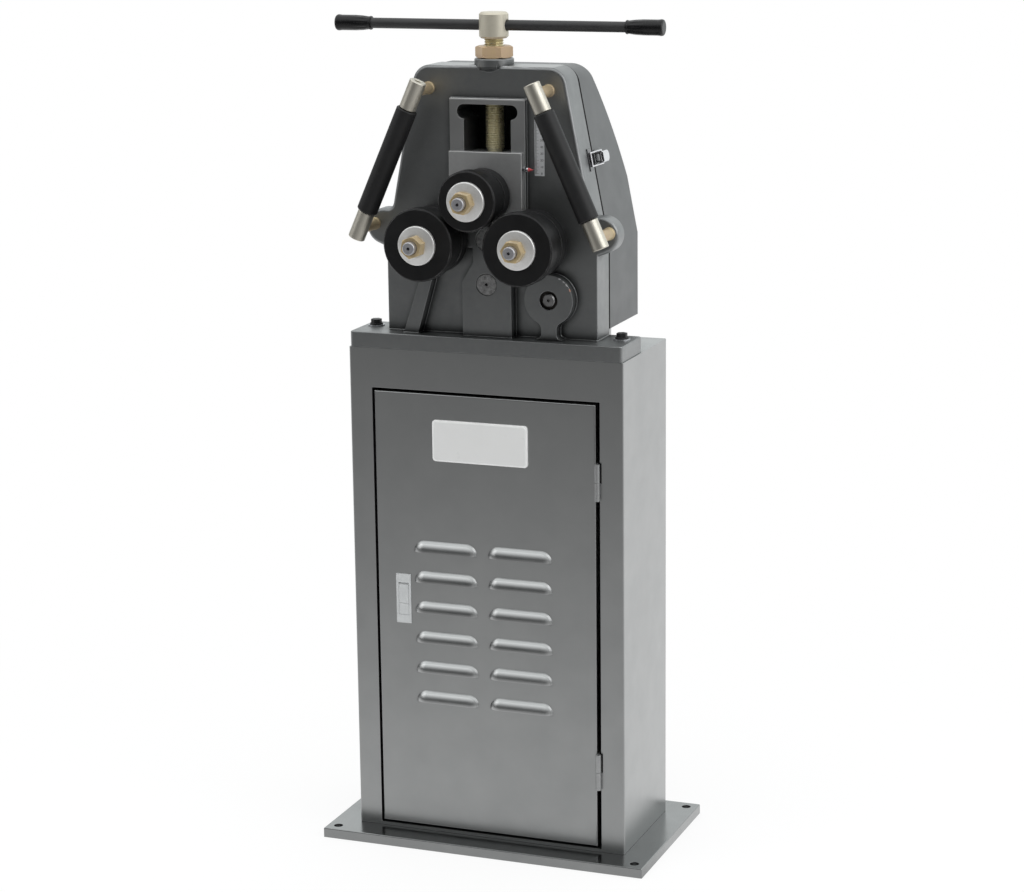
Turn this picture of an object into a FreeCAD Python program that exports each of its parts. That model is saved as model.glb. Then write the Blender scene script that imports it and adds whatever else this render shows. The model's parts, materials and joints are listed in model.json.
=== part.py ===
import FreeCAD, Part
import math
import os

# Manual three-roll ring roller on a sheet-metal cabinet stand.
# Millimetres, +Z up, -Y faces the operator, +X is the operator's right.
# Origin: centre of the base plate's underside.
# Each piece is one STEP file in parts/, named after its node.

V = FreeCAD.Vector
Y_AXIS = V(0, 1, 0)
Z_AXIS = V(0, 0, 1)

# --------------------------------------------------------------------------
# Clearances shared by the fits
# --------------------------------------------------------------------------
RUN_FIT = 0.05  # radial gap of a turning journal
SLIDE_FIT = 0.3  # gap between flat faces that slide or turn past each other
BOLT_FIT = 0.5  # radial gap of a bolt in its clearance hole
GEAR_BACKLASH = 0.2  # taken off each tooth flank at the pitch circle

# --------------------------------------------------------------------------
# Base plate
# --------------------------------------------------------------------------
BASE_RIM_X = 44.0  # base plate beyond the cabinet at each side
BASE_RIM_Y = 46.0  # base plate ahead of and behind the middle of the cabinet
BASE_T = 16.0  # thickness
BASE_HOLE_D = 14.0  # floor bolt hole
BASE_HOLE_INSET = 18.0  # hole centre to each edge
BASE_EDGE = 1.0  # chamfer of the top rim

# --------------------------------------------------------------------------
# Cabinet and door
# --------------------------------------------------------------------------
CAB_W = 450.0  # outside width
CAB_D = 210.0  # outside depth
BASE_W = CAB_W + 2 * BASE_RIM_X
BASE_D = CAB_D + 2 * BASE_RIM_Y
CAB_H = 781.0  # height above the base plate
CAB_Y = 1.5  # centre of the cabinet behind the base centre
CAB_SHEET = 2.0  # sheet thickness
CAB_BEND_R = 3.5  # outside bend radius of the upright corners
STILE_W = 38.0  # front frame beside the door
HEAD_RAIL_H = 62.6  # front frame above the door
SILL_H = 5.0  # front frame below the door
FRAME_FOLD = 22.0  # flange folded inwards round the opening
DOOR_GAP = 3.5  # gap at the door's left edge and foot
DOOR_TOP_GAP = 4.5  # gap above the door
HINGE_GAP = 6.5  # gap at the hinged edge
DOOR_PROUD = 0.5  # door face ahead of the frame face
DOOR_SHEET = 1.5  # door sheet thickness
DOOR_DEPTH = 18.0  # depth of the door's folded edge
DOOR_BEND_R = 2.5  # outside bend radius of the door's edges

LOUVRE_LATCH_GAP = 19.0  # left column's end from the latch's centre
LOUVRE_SIDE = 71.5  # right column's end from the door's right edge
LOUVRE_GAP = 18.0  # between the two columns
LOUVRE_H = 18.0  # height of the hood
LOUVRE_OUT = 8.5  # how far the lip stands off the door
LOUVRE_PITCH = 49.0  # row spacing
LOUVRE_ROWS = 6
LOUVRE_LOW = 207.5  # lowest lip above the door's bottom edge

LATCH_W = 25.0  # latch plate width
LATCH_H = 80.0  # latch plate height
LATCH_T = 1.5  # latch plate thickness
LATCH_X = 43.5  # latch centre from the door's left edge
LATCH_Z = 374.0  # latch centre above the door's bottom edge
LATCH_POCKET_W = 17.0
LATCH_POCKET_H = 52.0
LATCH_LEVER_H = 33.4  # length of the pull lever
LATCH_DROP = 0.5  # pocket centre below the plate centre
LATCH_CUP_WALL = 1.2
LATCH_CUP_D = 14.0  # depth of the cup behind the plate
LATCH_LEVER_T = 4.0  # lever and button thickness
LATCH_PIVOT_D = 3.0
LATCH_PRESS = 4.0  # travel of the button

HINGE_D = 9.0  # barrel diameter
HINGE_H = 57.5  # barrel height
HINGE_PIN_D = 5.0
HINGE_LEAF_T = 1.2
HINGE_LOW = 127.0  # lower barrel centre above the opening
HINGE_HIGH = 124.0  # upper barrel centre below the opening's top
HINGE_PROUD = 3.5  # barrel axis ahead of the frame face
HINGE_NOTCH = 1.2  # sheet cut back round the barrel

# --------------------------------------------------------------------------
# Head casting
# --------------------------------------------------------------------------
FLANGE_LEDGE = 2.0  # cabinet beyond the flange at each end
FLANGE_D = 94.0  # foot flange depth
FLANGE_T = 24.0  # foot flange thickness
FLANGE_CORNER_R = 6.0
HEAD_BOLT_INSET = 20.0  # hold-down bolt from the flange's end
HEAD_BOLT_ROOM = 18.0  # spanner room between the washer and the casting's side
HEAD_H = 410.0  # height above the flange
HEAD_TAPER_H = 139.0  # height where the sides start to lean in
HEAD_TAPER = 0.193  # lean of each side, mm per mm
HEAD_TOP_R = 28.0  # rounding of the upper corners
HEAD_T = 54.0  # thickness of the upright casting
HEAD_SETBACK = 35.5  # casting face behind the flange's front edge
HEAD_EDGE_R = 5.5  # rounding of the front outline, from the ears up
HEAD_FOOT_EDGE_R = 2.0  # rounding of the upright front edges below the ears
RAISE = 19.0  # webs and bosses ahead of the casting face
WEB_HALF_W = 40.0  # centre web at the foot
WEB_STEP_H = 84.0  # where the centre web narrows
WEB_NECK_H = 114.0  # where the narrow part starts
WEB_SHOULDER_R = 20.0
WEB_NECK_R = 12.0
IDLER_BOSS_R = 22.0
ROLL_BOSS_R = 30.0
CROSS_WEB_H = 24.0  # bar that joins the roll bosses
RIB_FOOT_X = -126.5  # middle of the slanted rib at the foot
RIB_FOOT_W = 24.0
RIB_TOP_W = 18.0
PINION_BOSS_R = 39.0
PINION_NECK_W = 25.0
PINION_NECK_R = 12.0  # hollow between the pinion boss and its neck
PINION_FLARE_R = 8.0  # hollow at the neck's foot
EAR_R = 28.0  # ear that carries each lower guide stud
EAR_T = 30.0  # thickness of the ear
EAR_IN = 13.9  # ear centre inboard of its stud
EAR_DROP = 4.3  # ear centre below its stud
EAR_BLEND_R = 11.0
EAR_GUSSET_H = 128.0  # where the ear runs out into the side
TOP_BOSS_R = 30.0  # boss round the lead screw
TOP_BOSS_UP = 10.5  # boss above the casting's top
TOP_BOSS_SKIRT = 4.0  # boss carried down past the casting's top
TOP_BOSS_TAPER = 8.0  # height in which the boss runs out into the casting
TOP_BOSS_EDGE = 1.5  # chamfer of the boss's rim

HEAD_BOLT_Y = 58.5  # bolts behind the flange's front edge
HEAD_BOLT_D = 10.0
HEAD_BOLT_AF = 15.0
HEAD_BOLT_HEAD = 8.5
HEAD_BOLT_RIM_D = 21.0
HEAD_BOLT_RIM_T = 2.2
HEAD_WASHER_D = 26.0
HEAD_WASHER_T = 2.0
FLANGE_W = CAB_W - 2 * FLANGE_LEDGE  # foot flange length
HEAD_BOLT_X = FLANGE_W / 2 - HEAD_BOLT_INSET
HEAD_W = 2 * (HEAD_BOLT_X - HEAD_WASHER_D / 2 - HEAD_BOLT_ROOM)  # width of the upright casting
WELD_NUT_D = 20.0
WELD_NUT_H = 10.0

# --------------------------------------------------------------------------
# Gear train
# --------------------------------------------------------------------------
MODULE = 4.0
PRESSURE = 20.0  # pressure angle, degrees
ROLL_TOOTH_COUNT = 24
IDLER_TOOTH_COUNT = 16
SMALL_TOOTH_COUNT = 18  # driven side of the double idler
LARGE_TOOTH_COUNT = 31  # driving side of the double idler
PINION_TOOTH_COUNT = 20
PINION_TILT = -10.95  # direction from the double idler to the pinion
GEAR_BACK = 6.0  # front gear plane behind the casting
GEAR_FACE = 16.0  # face width
GEAR_SPACE = 8.0  # between the two gear planes
GEAR_HUB_WALL = 9.0
AXLE_D = 20.0
AXLE_HEAD_D = 34.0  # flush disc at the casting's front
AXLE_HEAD_T = 8.0
AXLE_HEAD_EDGE = 1.2  # chamfer of the disc's rim
CLIP_T = 1.75  # retaining ring
CLIP_WALL = 3.0
CENTRE_D = 5.0  # centre-drilled hole in shaft ends

# --------------------------------------------------------------------------
# Rolls
# --------------------------------------------------------------------------
ROLL_H = 149.0  # bottom roll axis above the flange
TOP_ROLL_RISE = 69.0  # top roll axis above the bottom roll axes
ROLL_D = 111.5  # front disc of a bottom roll
TOP_ROLL_D = 92.0  # front disc of the top roll
ROLL_STEP = 3.6  # rear discs are smaller by this radius
TOP_ROLL_STEP = 4.0
ROLL_L = 75.0  # length of the roll stack
ROLL_DISC_L = 24.0  # front disc
ROLL_GROOVE_W = 3.0
ROLL_GROOVE_DEEP = 4.0
ROLL_EDGE = 2.0  # chamfer of the disc edges
ROLL_STAND = 3.0  # rear face of the roll ahead of its bush
SHAFT_D = 30.0
SHAFT_NOSE_D = 20.0  # threaded nose
SHAFT_NOSE_OUT = 35.0  # nose ahead of the roll's face
SHAFT_SHOULDER_D = 40.0
BUSH_WALL = 5.0
WASHER_D = 60.0  # cap washer ahead of a roll
WASHER_T = 8.0
NUT_AF = 30.0
NUT_H = 18.0
KEY_W = 8.0
KEY_H = 7.0
GEAR_SEAT_D = 28.0  # shaft seat of a roll gear
COLLAR_D = 46.0
COLLAR_T = 8.0

# --------------------------------------------------------------------------
# Slide, lead screw and T-handle
# --------------------------------------------------------------------------
SLOT_HALF_W = 38.0  # guide slot in the casting
SLOT_LOW = 30.0  # slot bottom above the bottom roll axis
SLOT_H = 174.0
SLOT_EAR_R = 11.0  # relief at the slot's upper corners
SLOT_CORNER_R = 4.0
RAIL_W = 23.0  # width of each machined rail
RAIL_HEAD = 9.0  # rail above the slot
RAIL_RAISE = 7.5  # rail face ahead of the casting face
SLIDE_PLATE_T = 11.2
SLIDE_OVERLAP = 21.0  # plate over each rail
SLIDE_PLATE_UP = 65.0  # plate above the top roll axis
SLIDE_PLATE_DOWN = 42.0  # plate below the top roll axis
SLIDE_NECK_UP = 61.0
SLIDE_NECK_DOWN = 31.0
SLIDE_KEEPER_HALF_W = 48.0
SLIDE_KEEPER_UP = 57.0
SLIDE_KEEPER_DOWN = 23.0
SLIDE_KEEPER_T = 8.0
KEEPER_SCREW_D = 8.0
KEEPER_SCREW_X = 28.0
KEEPER_SCREW_Z = 17.0  # screws from the keeper's edges
SLIDE_TRAVEL = 60.0
SCREW_D = 30.0
SCREW_BACK = 25.5  # screw axis behind the casting face
SCREW_JOURNAL_D = 22.0
SCREW_SOCKET = 30.0  # journal depth in the slide block
SCREW_GROOVE_D = 16.0
SCREW_PIN_D = 6.0
SCREW_PIN_L = 46.0
HUB_D = 44.6
HUB_H = 39.0
HUB_UP = 29.5  # hub underside above the top boss
HUB_EDGE = 3.0
HUB_BAR_MOUTH = 1.5  # countersink of the bar hole
LOCK_NUT_AF = 50.0
LOCK_NUT_H = 18.0
LOCK_NUT_TURN = 13.0  # resting angle of the flats
BAR_D = 16.0
BAR_L = 528.0  # over the two grips
BAR_SHIFT = 5.15
GRIP_D = 23.6
GRIP_L = 58.5
GRIP_FLARE = 0.8  # outer end beyond the grip's radius
GRIP_NECK_D = 19.4  # behind the inner lip
GRIP_LIP_D = 21.0
GRIP_LIP_L = 2.5
GRIP_TAPER_L = 24.0  # from the lip to the full diameter
GRIP_END_T = 5.0  # closed end beyond the bar

# --------------------------------------------------------------------------
# Depth scale and pointer
# --------------------------------------------------------------------------
SCALE_X = 73.3  # near edge of the scale strip
SCALE_W = 15.7
SCALE_H = 87.0
SCALE_T = 0.8
SCALE_LOW = 29.5  # strip bottom above the top roll axis
POINTER_RISE = 40.0  # pointer above the top roll axis
POINTER_D = 3.0
POINTER_NUT_AF = 8.0
POINTER_NUT_T = 4.5
POINTER_COLLAR_D = 7.0
POINTER_COLLAR_T = 2.5
POINTER_CONE_D = 6.0
POINTER_CONE_L = 8.5
POINTER_L = 17.6  # from the slide plate to the tip

# --------------------------------------------------------------------------
# Side guides
# --------------------------------------------------------------------------
GUIDE_LOW_OUT = 19.3  # lower stud outboard of the casting's side
GUIDE_HIGH_IN = 75.0  # upper stud inboard of the casting's foot width
GUIDE_LOW_X = HEAD_W / 2 + GUIDE_LOW_OUT
GUIDE_HIGH_X = HEAD_W / 2 - GUIDE_HIGH_IN
GUIDE_LOW_H = 164.7  # lower stud above the flange
GUIDE_HIGH_H = 375.5
GUIDE_OUT = 56.5  # guide axis ahead of the casting face
GUIDE_END = 16.5  # block beyond its stud
GUIDE_BLOCK_D = 26.0
GUIDE_BLOCK_L = 46.0
GUIDE_EDGE = 1.2
GUIDE_ROD_D = 16.0
SLEEVE_D = 32.0
STUD_D = 18.0
STUD_PAST = 8.0  # stud beyond the guide axis
STUD_ROOT = 20.0  # stud inside the casting
GRUB_D = 10.0  # tapped hole in the block's end

# --------------------------------------------------------------------------
# Gear cover, crank and toggle latch
# --------------------------------------------------------------------------
COVER_SHEET = 1.5
COVER_GAP = 3.0  # cover ahead edge behind the casting
COVER_D = 135.0  # depth of the cover
COVER_LOW = 9.0  # cover bottom above the flange
COVER_TOP_DOWN = 2.0  # cover top below the casting's top
COVER_SLOPE_H = 226.0  # where the back starts to lean forward
COVER_TOP_D = 46.0  # depth at the top
COVER_BULGE = 9.0  # how far the leaning back bows out
COVER_HOLE_FIT = 4.0
REST_PIN_D = 8.0
REST_PIN_OUT = 22.0
REST_PIN_IN = 12.0
REST_PIN_INSET = 12.0  # cover rest pin from the casting's side
REST_PIN_X = HEAD_W / 2 - REST_PIN_INSET
CRANK_SHAFT_D = 20.0
CRANK_BUSH_D = 29.0
CRANK_BUSH_SET = 5.0  # bush behind its boss's face
CRANK_SHAFT_EDGE = 1.6  # chamfer of the shaft's front end
CRANK_COLLAR_D = 32.0
CRANK_GAP = 8.0  # crank hub behind the cover
CRANK_L = 250.0
CRANK_HUB_D = 44.0
CRANK_HUB_L = 24.0
CRANK_ARM_T = 12.0
CRANK_ARM_W = 34.0
CRANK_EYE_D = 30.0
CRANK_SPINDLE_D = 12.0
CRANK_GRIP_D = 34.0
CRANK_GRIP_L = 110.0

TOGGLE_H = 269.0  # latch centre above the flange
TOGGLE_PLATE_T = 1.5
TOGGLE_KEEPER_L = 16.0
TOGGLE_KEEPER_W = 34.0
TOGGLE_KEEPER_BACK = 5.0  # keeper to the casting's rear edge
TOGGLE_HOOK_UP = 8.0
TOGGLE_BASE_L = 26.0
TOGGLE_BASE_W = 24.0
TOGGLE_BASE_BACK = 5.0  # base plate behind the cover's front edge
TOGGLE_EAR_T = 1.5
TOGGLE_EAR_R = 2.7  # ear round the pivot, inside the lever
TOGGLE_PIVOT_D = 3.0
TOGGLE_PIVOT_UP = 7.0
TOGGLE_PIVOT_BACK = 8.0  # lever pivot behind the base plate's front
TOGGLE_BAIL_D = 2.6
TOGGLE_THROW = 7.0  # bail pivot behind the lever pivot
TOGGLE_LEVER_L = 27.0
TOGGLE_LEVER_W = 17.0
TOGGLE_LEVER_T = 1.5

# --------------------------------------------------------------------------
# Places worked out from the sizes above
# --------------------------------------------------------------------------
CAB_FRONT = CAB_Y - CAB_D / 2
CAB_REAR = CAB_Y + CAB_D / 2
CAB_TOP = BASE_T + CAB_H
OPEN_HALF_W = CAB_W / 2 - STILE_W
OPEN_LOW = BASE_T + SILL_H
OPEN_HIGH = CAB_TOP - HEAD_RAIL_H
DOOR_X0 = DOOR_GAP - OPEN_HALF_W
DOOR_X1 = OPEN_HALF_W - HINGE_GAP
DOOR_LOW = OPEN_LOW + DOOR_GAP
DOOR_HIGH = OPEN_HIGH - DOOR_TOP_GAP
DOOR_FACE = CAB_FRONT - DOOR_PROUD
HINGE_X = OPEN_HALF_W - HINGE_GAP / 2
HINGE_Y = CAB_FRONT - HINGE_PROUD
HINGE_ZS = (OPEN_LOW + HINGE_LOW, OPEN_HIGH - HINGE_HIGH)
LATCH_CX = DOOR_X0 + LATCH_X
LATCH_CZ = DOOR_LOW + LATCH_Z
LOUVRE_X0 = LATCH_CX + LOUVRE_LATCH_GAP
LOUVRE_W = (DOOR_X1 - LOUVRE_SIDE - LOUVRE_X0 - LOUVRE_GAP) / 2  # length of one louvre
LOUVRE_XS = (LOUVRE_X0 + LOUVRE_W / 2, DOOR_X1 - LOUVRE_SIDE - LOUVRE_W / 2)

FOOT_Z = CAB_TOP + FLANGE_T  # top of the casting's flange
FACE_Y = CAB_FRONT + HEAD_SETBACK  # casting face
BOSS_Y = FACE_Y - RAISE  # face of the webs and bosses
RAIL_Y = FACE_Y - RAIL_RAISE  # face of the machined rails
REAR_Y = FACE_Y + HEAD_T  # back of the casting
HEAD_TOP = FOOT_Z + HEAD_H
BOSS_TOP = HEAD_TOP + TOP_BOSS_UP
SCREW_Y = FACE_Y + SCREW_BACK
EAR_X = GUIDE_LOW_X - EAR_IN
EAR_Z = FOOT_Z + GUIDE_LOW_H - EAR_DROP

ROLL_X = MODULE * (ROLL_TOOTH_COUNT + IDLER_TOOTH_COUNT) / 2
ROLL_Z = FOOT_Z + ROLL_H
TOP_Z = ROLL_Z + TOP_ROLL_RISE
ROLL_REAR = BOSS_Y - ROLL_STAND
ROLL_FRONT = ROLL_REAR - ROLL_L
IDLER_2_Z = ROLL_Z - MODULE * (IDLER_TOOTH_COUNT + SMALL_TOOTH_COUNT) / 2
PINION_REACH = MODULE * (LARGE_TOOTH_COUNT + PINION_TOOTH_COUNT) / 2
PINION_X = PINION_REACH * math.cos(math.radians(PINION_TILT))
PINION_Z = IDLER_2_Z + PINION_REACH * math.sin(math.radians(PINION_TILT))
PLANE_A = REAR_Y + GEAR_BACK  # front of the first gear plane
PLANE_B = PLANE_A + GEAR_FACE + GEAR_SPACE

SLOT_Z0 = ROLL_Z + SLOT_LOW
SLOT_Z1 = SLOT_Z0 + SLOT_H
RAIL_HALF_W = SLOT_HALF_W + RAIL_W
SLIDE_HALF_W = SLOT_HALF_W + SLIDE_OVERLAP
SLIDE_BACK = RAIL_Y - SLIDE_FIT
SLIDE_FRONT = SLIDE_BACK - SLIDE_PLATE_T
KEEPER_Y = REAR_Y + SLIDE_FIT
NECK_TOP = TOP_Z + SLIDE_NECK_UP
SOCKET_LOW = NECK_TOP - SCREW_SOCKET
BUSH_R = SHAFT_D / 2 + BUSH_WALL
HUB_Z = BOSS_TOP + HUB_UP
BAR_Z = HUB_Z + HUB_H / 2

COVER_Y = REAR_Y + COVER_GAP
COVER_BACK = COVER_Y + COVER_D
COVER_Z = FOOT_Z + COVER_LOW
COVER_TOP = HEAD_TOP - COVER_TOP_DOWN
CRANK_Y = COVER_BACK + CRANK_GAP
GUIDE_Y = FACE_Y - GUIDE_OUT


# --------------------------------------------------------------------------
# Shape helpers
# --------------------------------------------------------------------------
def box(x0, x1, y0, y1, z0, z1):
    """Block between two corners."""
    return Part.makeBox(x1 - x0, y1 - y0, z1 - z0, V(x0, y0, z0))


def rod_x(x0, x1, y, z, radius):
    """Cylinder along X."""
    return Part.makeCylinder(radius, x1 - x0, V(x0, y, z), V(1, 0, 0))


def rod_y(x, z, y0, y1, radius):
    """Cylinder along Y."""
    return Part.makeCylinder(radius, y1 - y0, V(x, y0, z), Y_AXIS)


def rod_z(x, y, z0, z1, radius):
    """Cylinder along Z."""
    return Part.makeCylinder(radius, z1 - z0, V(x, y, z0), Z_AXIS)


def on_xz(y):
    """Placer of a flat point on the upright plane at y."""
    return lambda a, b: V(a, y, b)


def on_xy(z):
    """Placer of a flat point on the level plane at z."""
    return lambda a, b: V(a, b, z)


def on_yz(x):
    """Placer of a flat point on the side plane at x."""
    return lambda a, b: V(x, a, b)


def outline(points, radii, place):
    """Closed wire through flat points, each corner rounded by its radius (0 is sharp)."""
    count = len(points)
    corners = []
    for i in range(count):
        here = V(points[i][0], points[i][1], 0)
        back = V(points[i - 1][0], points[i - 1][1], 0) - here
        ahead = V(points[(i + 1) % count][0], points[(i + 1) % count][1], 0) - here
        back.normalize()
        ahead.normalize()
        if radii[i] <= 0:
            corners.append((here, here, here))
            continue
        half = back.getAngle(ahead) / 2
        cut = radii[i] / math.tan(half)
        inward = back + ahead
        inward.normalize()
        middle = here + inward * (radii[i] / math.sin(half) - radii[i])
        corners.append((here + back * cut, middle, here + ahead * cut))
    edges = []
    for i in range(count):
        start, middle, end = corners[i]
        if radii[i] > 0:
            arc = Part.Arc(place(start.x, start.y), place(middle.x, middle.y), place(end.x, end.y))
            edges.append(arc.toShape())
        following = corners[(i + 1) % count][0]
        if (following - end).Length > 1e-6:
            edges.append(Part.makeLine(place(end.x, end.y), place(following.x, following.y)))
    return Part.Wire(edges)


def plate_xz(points, radii, y0, y1):
    """Upright plate: outline in X and Z, thick from y0 to y1."""
    return Part.Face(outline(points, radii, on_xz(y0))).extrude(V(0, y1 - y0, 0))


def plate_xy(points, radii, z0, z1):
    """Level plate: outline in X and Y, thick from z0 to z1."""
    return Part.Face(outline(points, radii, on_xy(z0))).extrude(V(0, 0, z1 - z0))


def turned(profile, x, z):
    """Solid of revolution about the Y line through (x, z) from (radius, y) points."""
    wire = Part.makePolygon([V(x + r, y, z) for r, y in profile + profile[:1]])
    return Part.Face(wire).revolve(V(x, 0, z), Y_AXIS, 360)


def turned_up(profile, x, y):
    """Solid of revolution about the Z line through (x, y) from (radius, z) points."""
    wire = Part.makePolygon([V(x + r, y, z) for r, z in profile + profile[:1]])
    return Part.Face(wire).revolve(V(x, y, 0), Z_AXIS, 360)


def turned_along(profile, y, z):
    """Solid of revolution about the X line through (y, z) from (radius, x) points."""
    wire = Part.makePolygon([V(x, y, z + r) for r, x in profile + profile[:1]])
    return Part.Face(wire).revolve(V(0, y, z), V(1, 0, 0), 360)


def hexagon(across_flats, turn, place):
    """Closed hexagon wire with a flat facing the first axis at turn 0."""
    radius = across_flats / 2 / math.cos(math.radians(30))
    angles = [math.radians(turn + 30 + 60 * i) for i in range(7)]
    return Part.makePolygon([place(radius * math.cos(a), radius * math.sin(a)) for a in angles])


def hex_nut_y(x, z, y0, y1, across_flats, bore, turn=0.0):
    """Nut along Y with its front corners turned off."""
    flats = hexagon(across_flats, turn, lambda a, b: V(x + a, y0, z + b))
    body = Part.Face(flats).extrude(V(0, y1 - y0, 0))
    corner = across_flats / 2 / math.cos(math.radians(30))
    lip = (corner - across_flats / 2) * 0.6
    shape = [(0, y0), (across_flats / 2, y0), (corner, y0 + lip), (corner, y1), (0, y1)]
    body = body.common(turned(shape, x, z))
    return body.cut(rod_y(x, z, y0 - 1, y1 + 1, bore))


def fillet_where(shape, radius, test):
    """Round every edge whose two ends and middle pass the test."""
    chosen = []
    for edge in shape.Edges:
        middle = edge.valueAt((edge.FirstParameter + edge.LastParameter) / 2)
        places = [vertex.Point for vertex in edge.Vertexes] + [middle]
        if all(test(p) for p in places):
            chosen.append(edge)
    return shape.makeFillet(radius, chosen)


def tangent_point(from_x, from_z, centre_x, centre_z, radius):
    """Point where a line from outside touches a circle on its +X side."""
    reach = math.hypot(centre_x - from_x, centre_z - from_z)
    lean = math.asin(radius / reach)
    along = math.sqrt(reach * reach - radius * radius)
    heading = math.atan2(centre_z - from_z, centre_x - from_x) - lean
    return from_x + along * math.cos(heading), from_z + along * math.sin(heading)


# --------------------------------------------------------------------------
# Base plate and cabinet
# --------------------------------------------------------------------------
def base_plate():
    plate = box(-BASE_W / 2, BASE_W / 2, -BASE_D / 2, BASE_D / 2, 0, BASE_T)
    rim = [e for e in plate.Edges if all(abs(v.Z - BASE_T) < 1e-6 for v in e.Vertexes)]
    plate = plate.makeChamfer(BASE_EDGE, rim)
    for sx in (-1, 1):
        for sy in (-1, 1):
            x = sx * (BASE_W / 2 - BASE_HOLE_INSET)
            y = sy * (BASE_D / 2 - BASE_HOLE_INSET)
            plate = plate.cut(rod_z(x, y, -1, BASE_T + 1, BASE_HOLE_D / 2))
    return plate


def upright_box(half_w, y0, y1, z0, z1, corner_r):
    """Block with rounded upright corners."""
    points = [(-half_w, y0), (half_w, y0), (half_w, y1), (-half_w, y1)]
    return plate_xy(points, [corner_r] * 4, z0, z1)


def hinge_notches(for_frame):
    """Cut-outs that clear the barrels, in the frame or in the door."""
    cuts = []
    for z in HINGE_ZS:
        reach = HINGE_D / 2 + HINGE_NOTCH
        deep = HINGE_GAP + HINGE_D / 2
        upper = (z - HINGE_NOTCH, z + HINGE_H / 2 + HINGE_NOTCH)
        lower = (z - HINGE_H / 2 - HINGE_NOTCH, z + HINGE_NOTCH)
        z0, z1 = (upper if for_frame else lower)
        y0 = HINGE_Y - HINGE_D
        y1 = CAB_FRONT + deep
        cuts.append(rod_z(HINGE_X, HINGE_Y, z - HINGE_H / 2, z + HINGE_H / 2, HINGE_D / 2 + RUN_FIT))
        if for_frame:
            cuts.append(box(HINGE_X, HINGE_X + reach, y0, y1, z0, z1))
        else:
            cuts.append(box(HINGE_X - reach, HINGE_X, y0, y1, z0, z1))
    return cuts


def cabinet_shell():
    t = CAB_SHEET
    half = CAB_W / 2
    shell = upright_box(half, CAB_FRONT, CAB_REAR, BASE_T, CAB_TOP, CAB_BEND_R)
    room = upright_box(half - t, CAB_FRONT + t, CAB_REAR - t, BASE_T + t, CAB_TOP - t, CAB_BEND_R - t)
    shell = shell.cut(room)
    fold = box(-OPEN_HALF_W - t, OPEN_HALF_W + t, CAB_FRONT + t, CAB_FRONT + FRAME_FOLD,
               BASE_T + t, OPEN_HIGH + t)
    shell = shell.fuse(fold)
    opening = box(-OPEN_HALF_W, OPEN_HALF_W, CAB_FRONT - 1, CAB_FRONT + FRAME_FOLD + 1,
                  OPEN_LOW, OPEN_HIGH)
    shell = shell.cut(opening)
    for notch in hinge_notches(True):
        shell = shell.cut(notch)
    bolt_y = CAB_FRONT + HEAD_BOLT_Y
    for side in (-1, 1):
        x = side * HEAD_BOLT_X
        nut = rod_z(x, bolt_y, CAB_TOP - t - WELD_NUT_H, CAB_TOP - t, WELD_NUT_D / 2)
        shell = shell.fuse(nut)
        hole = rod_z(x, bolt_y, CAB_TOP - t - WELD_NUT_H - 1, CAB_TOP + 1, HEAD_BOLT_D / 2)
        shell = shell.cut(hole)
    return shell.removeSplitter()


def louvre(x, z):
    """Outer hood and the hollow under it, for one louvre with its lip at z."""
    radius = (LOUVRE_OUT ** 2 + LOUVRE_H ** 2) / (2 * LOUVRE_OUT)
    y = DOOR_FACE + radius - LOUVRE_OUT
    reach = LOUVRE_W / 2 - LOUVRE_H
    above = box(x - LOUVRE_W, x + LOUVRE_W, y - 2 * radius, DOOR_FACE + DOOR_SHEET, z, z + 2 * radius)
    solids = []
    for r in (radius, radius - DOOR_SHEET):
        pill = rod_x(x - reach, x + reach, y, z, r)
        pill = pill.fuse(Part.makeSphere(r, V(x - reach, y, z)))
        pill = pill.fuse(Part.makeSphere(r, V(x + reach, y, z)))
        solids.append(pill.common(above))
    return solids


def door_panel():
    t = DOOR_SHEET
    left = DOOR_X0
    right = DOOR_X1
    points = [(left, DOOR_LOW), (right, DOOR_LOW), (right, DOOR_HIGH), (left, DOOR_HIGH)]
    pan = plate_xz(points, [0] * 4, DOOR_FACE, DOOR_FACE + DOOR_DEPTH)
    rim = [e for e in pan.Edges if all(abs(v.Y - DOOR_FACE) < 1e-6 for v in e.Vertexes)]
    pan = pan.makeFillet(DOOR_BEND_R, rim)
    hollow = box(left + t, right - t, DOOR_FACE + t, DOOR_FACE + DOOR_DEPTH + 1,
                 DOOR_LOW + t, DOOR_HIGH - t)
    pan = pan.cut(hollow)
    for notch in hinge_notches(False):
        pan = pan.cut(notch)
    wide = LATCH_POCKET_W / 2 + LATCH_CUP_WALL
    pan = pan.cut(box(LATCH_CX - wide, LATCH_CX + wide, DOOR_FACE - 1, DOOR_FACE + t + 1,
                      LATCH_POCKET_LOW - LATCH_CUP_WALL, LATCH_POCKET_TOP + LATCH_CUP_WALL))
    for x in LOUVRE_XS:
        for row in range(LOUVRE_ROWS):
            hood, hollow = louvre(x, DOOR_LOW + LOUVRE_LOW + row * LOUVRE_PITCH)
            pan = pan.fuse(hood).cut(hollow)
    return pan


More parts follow.
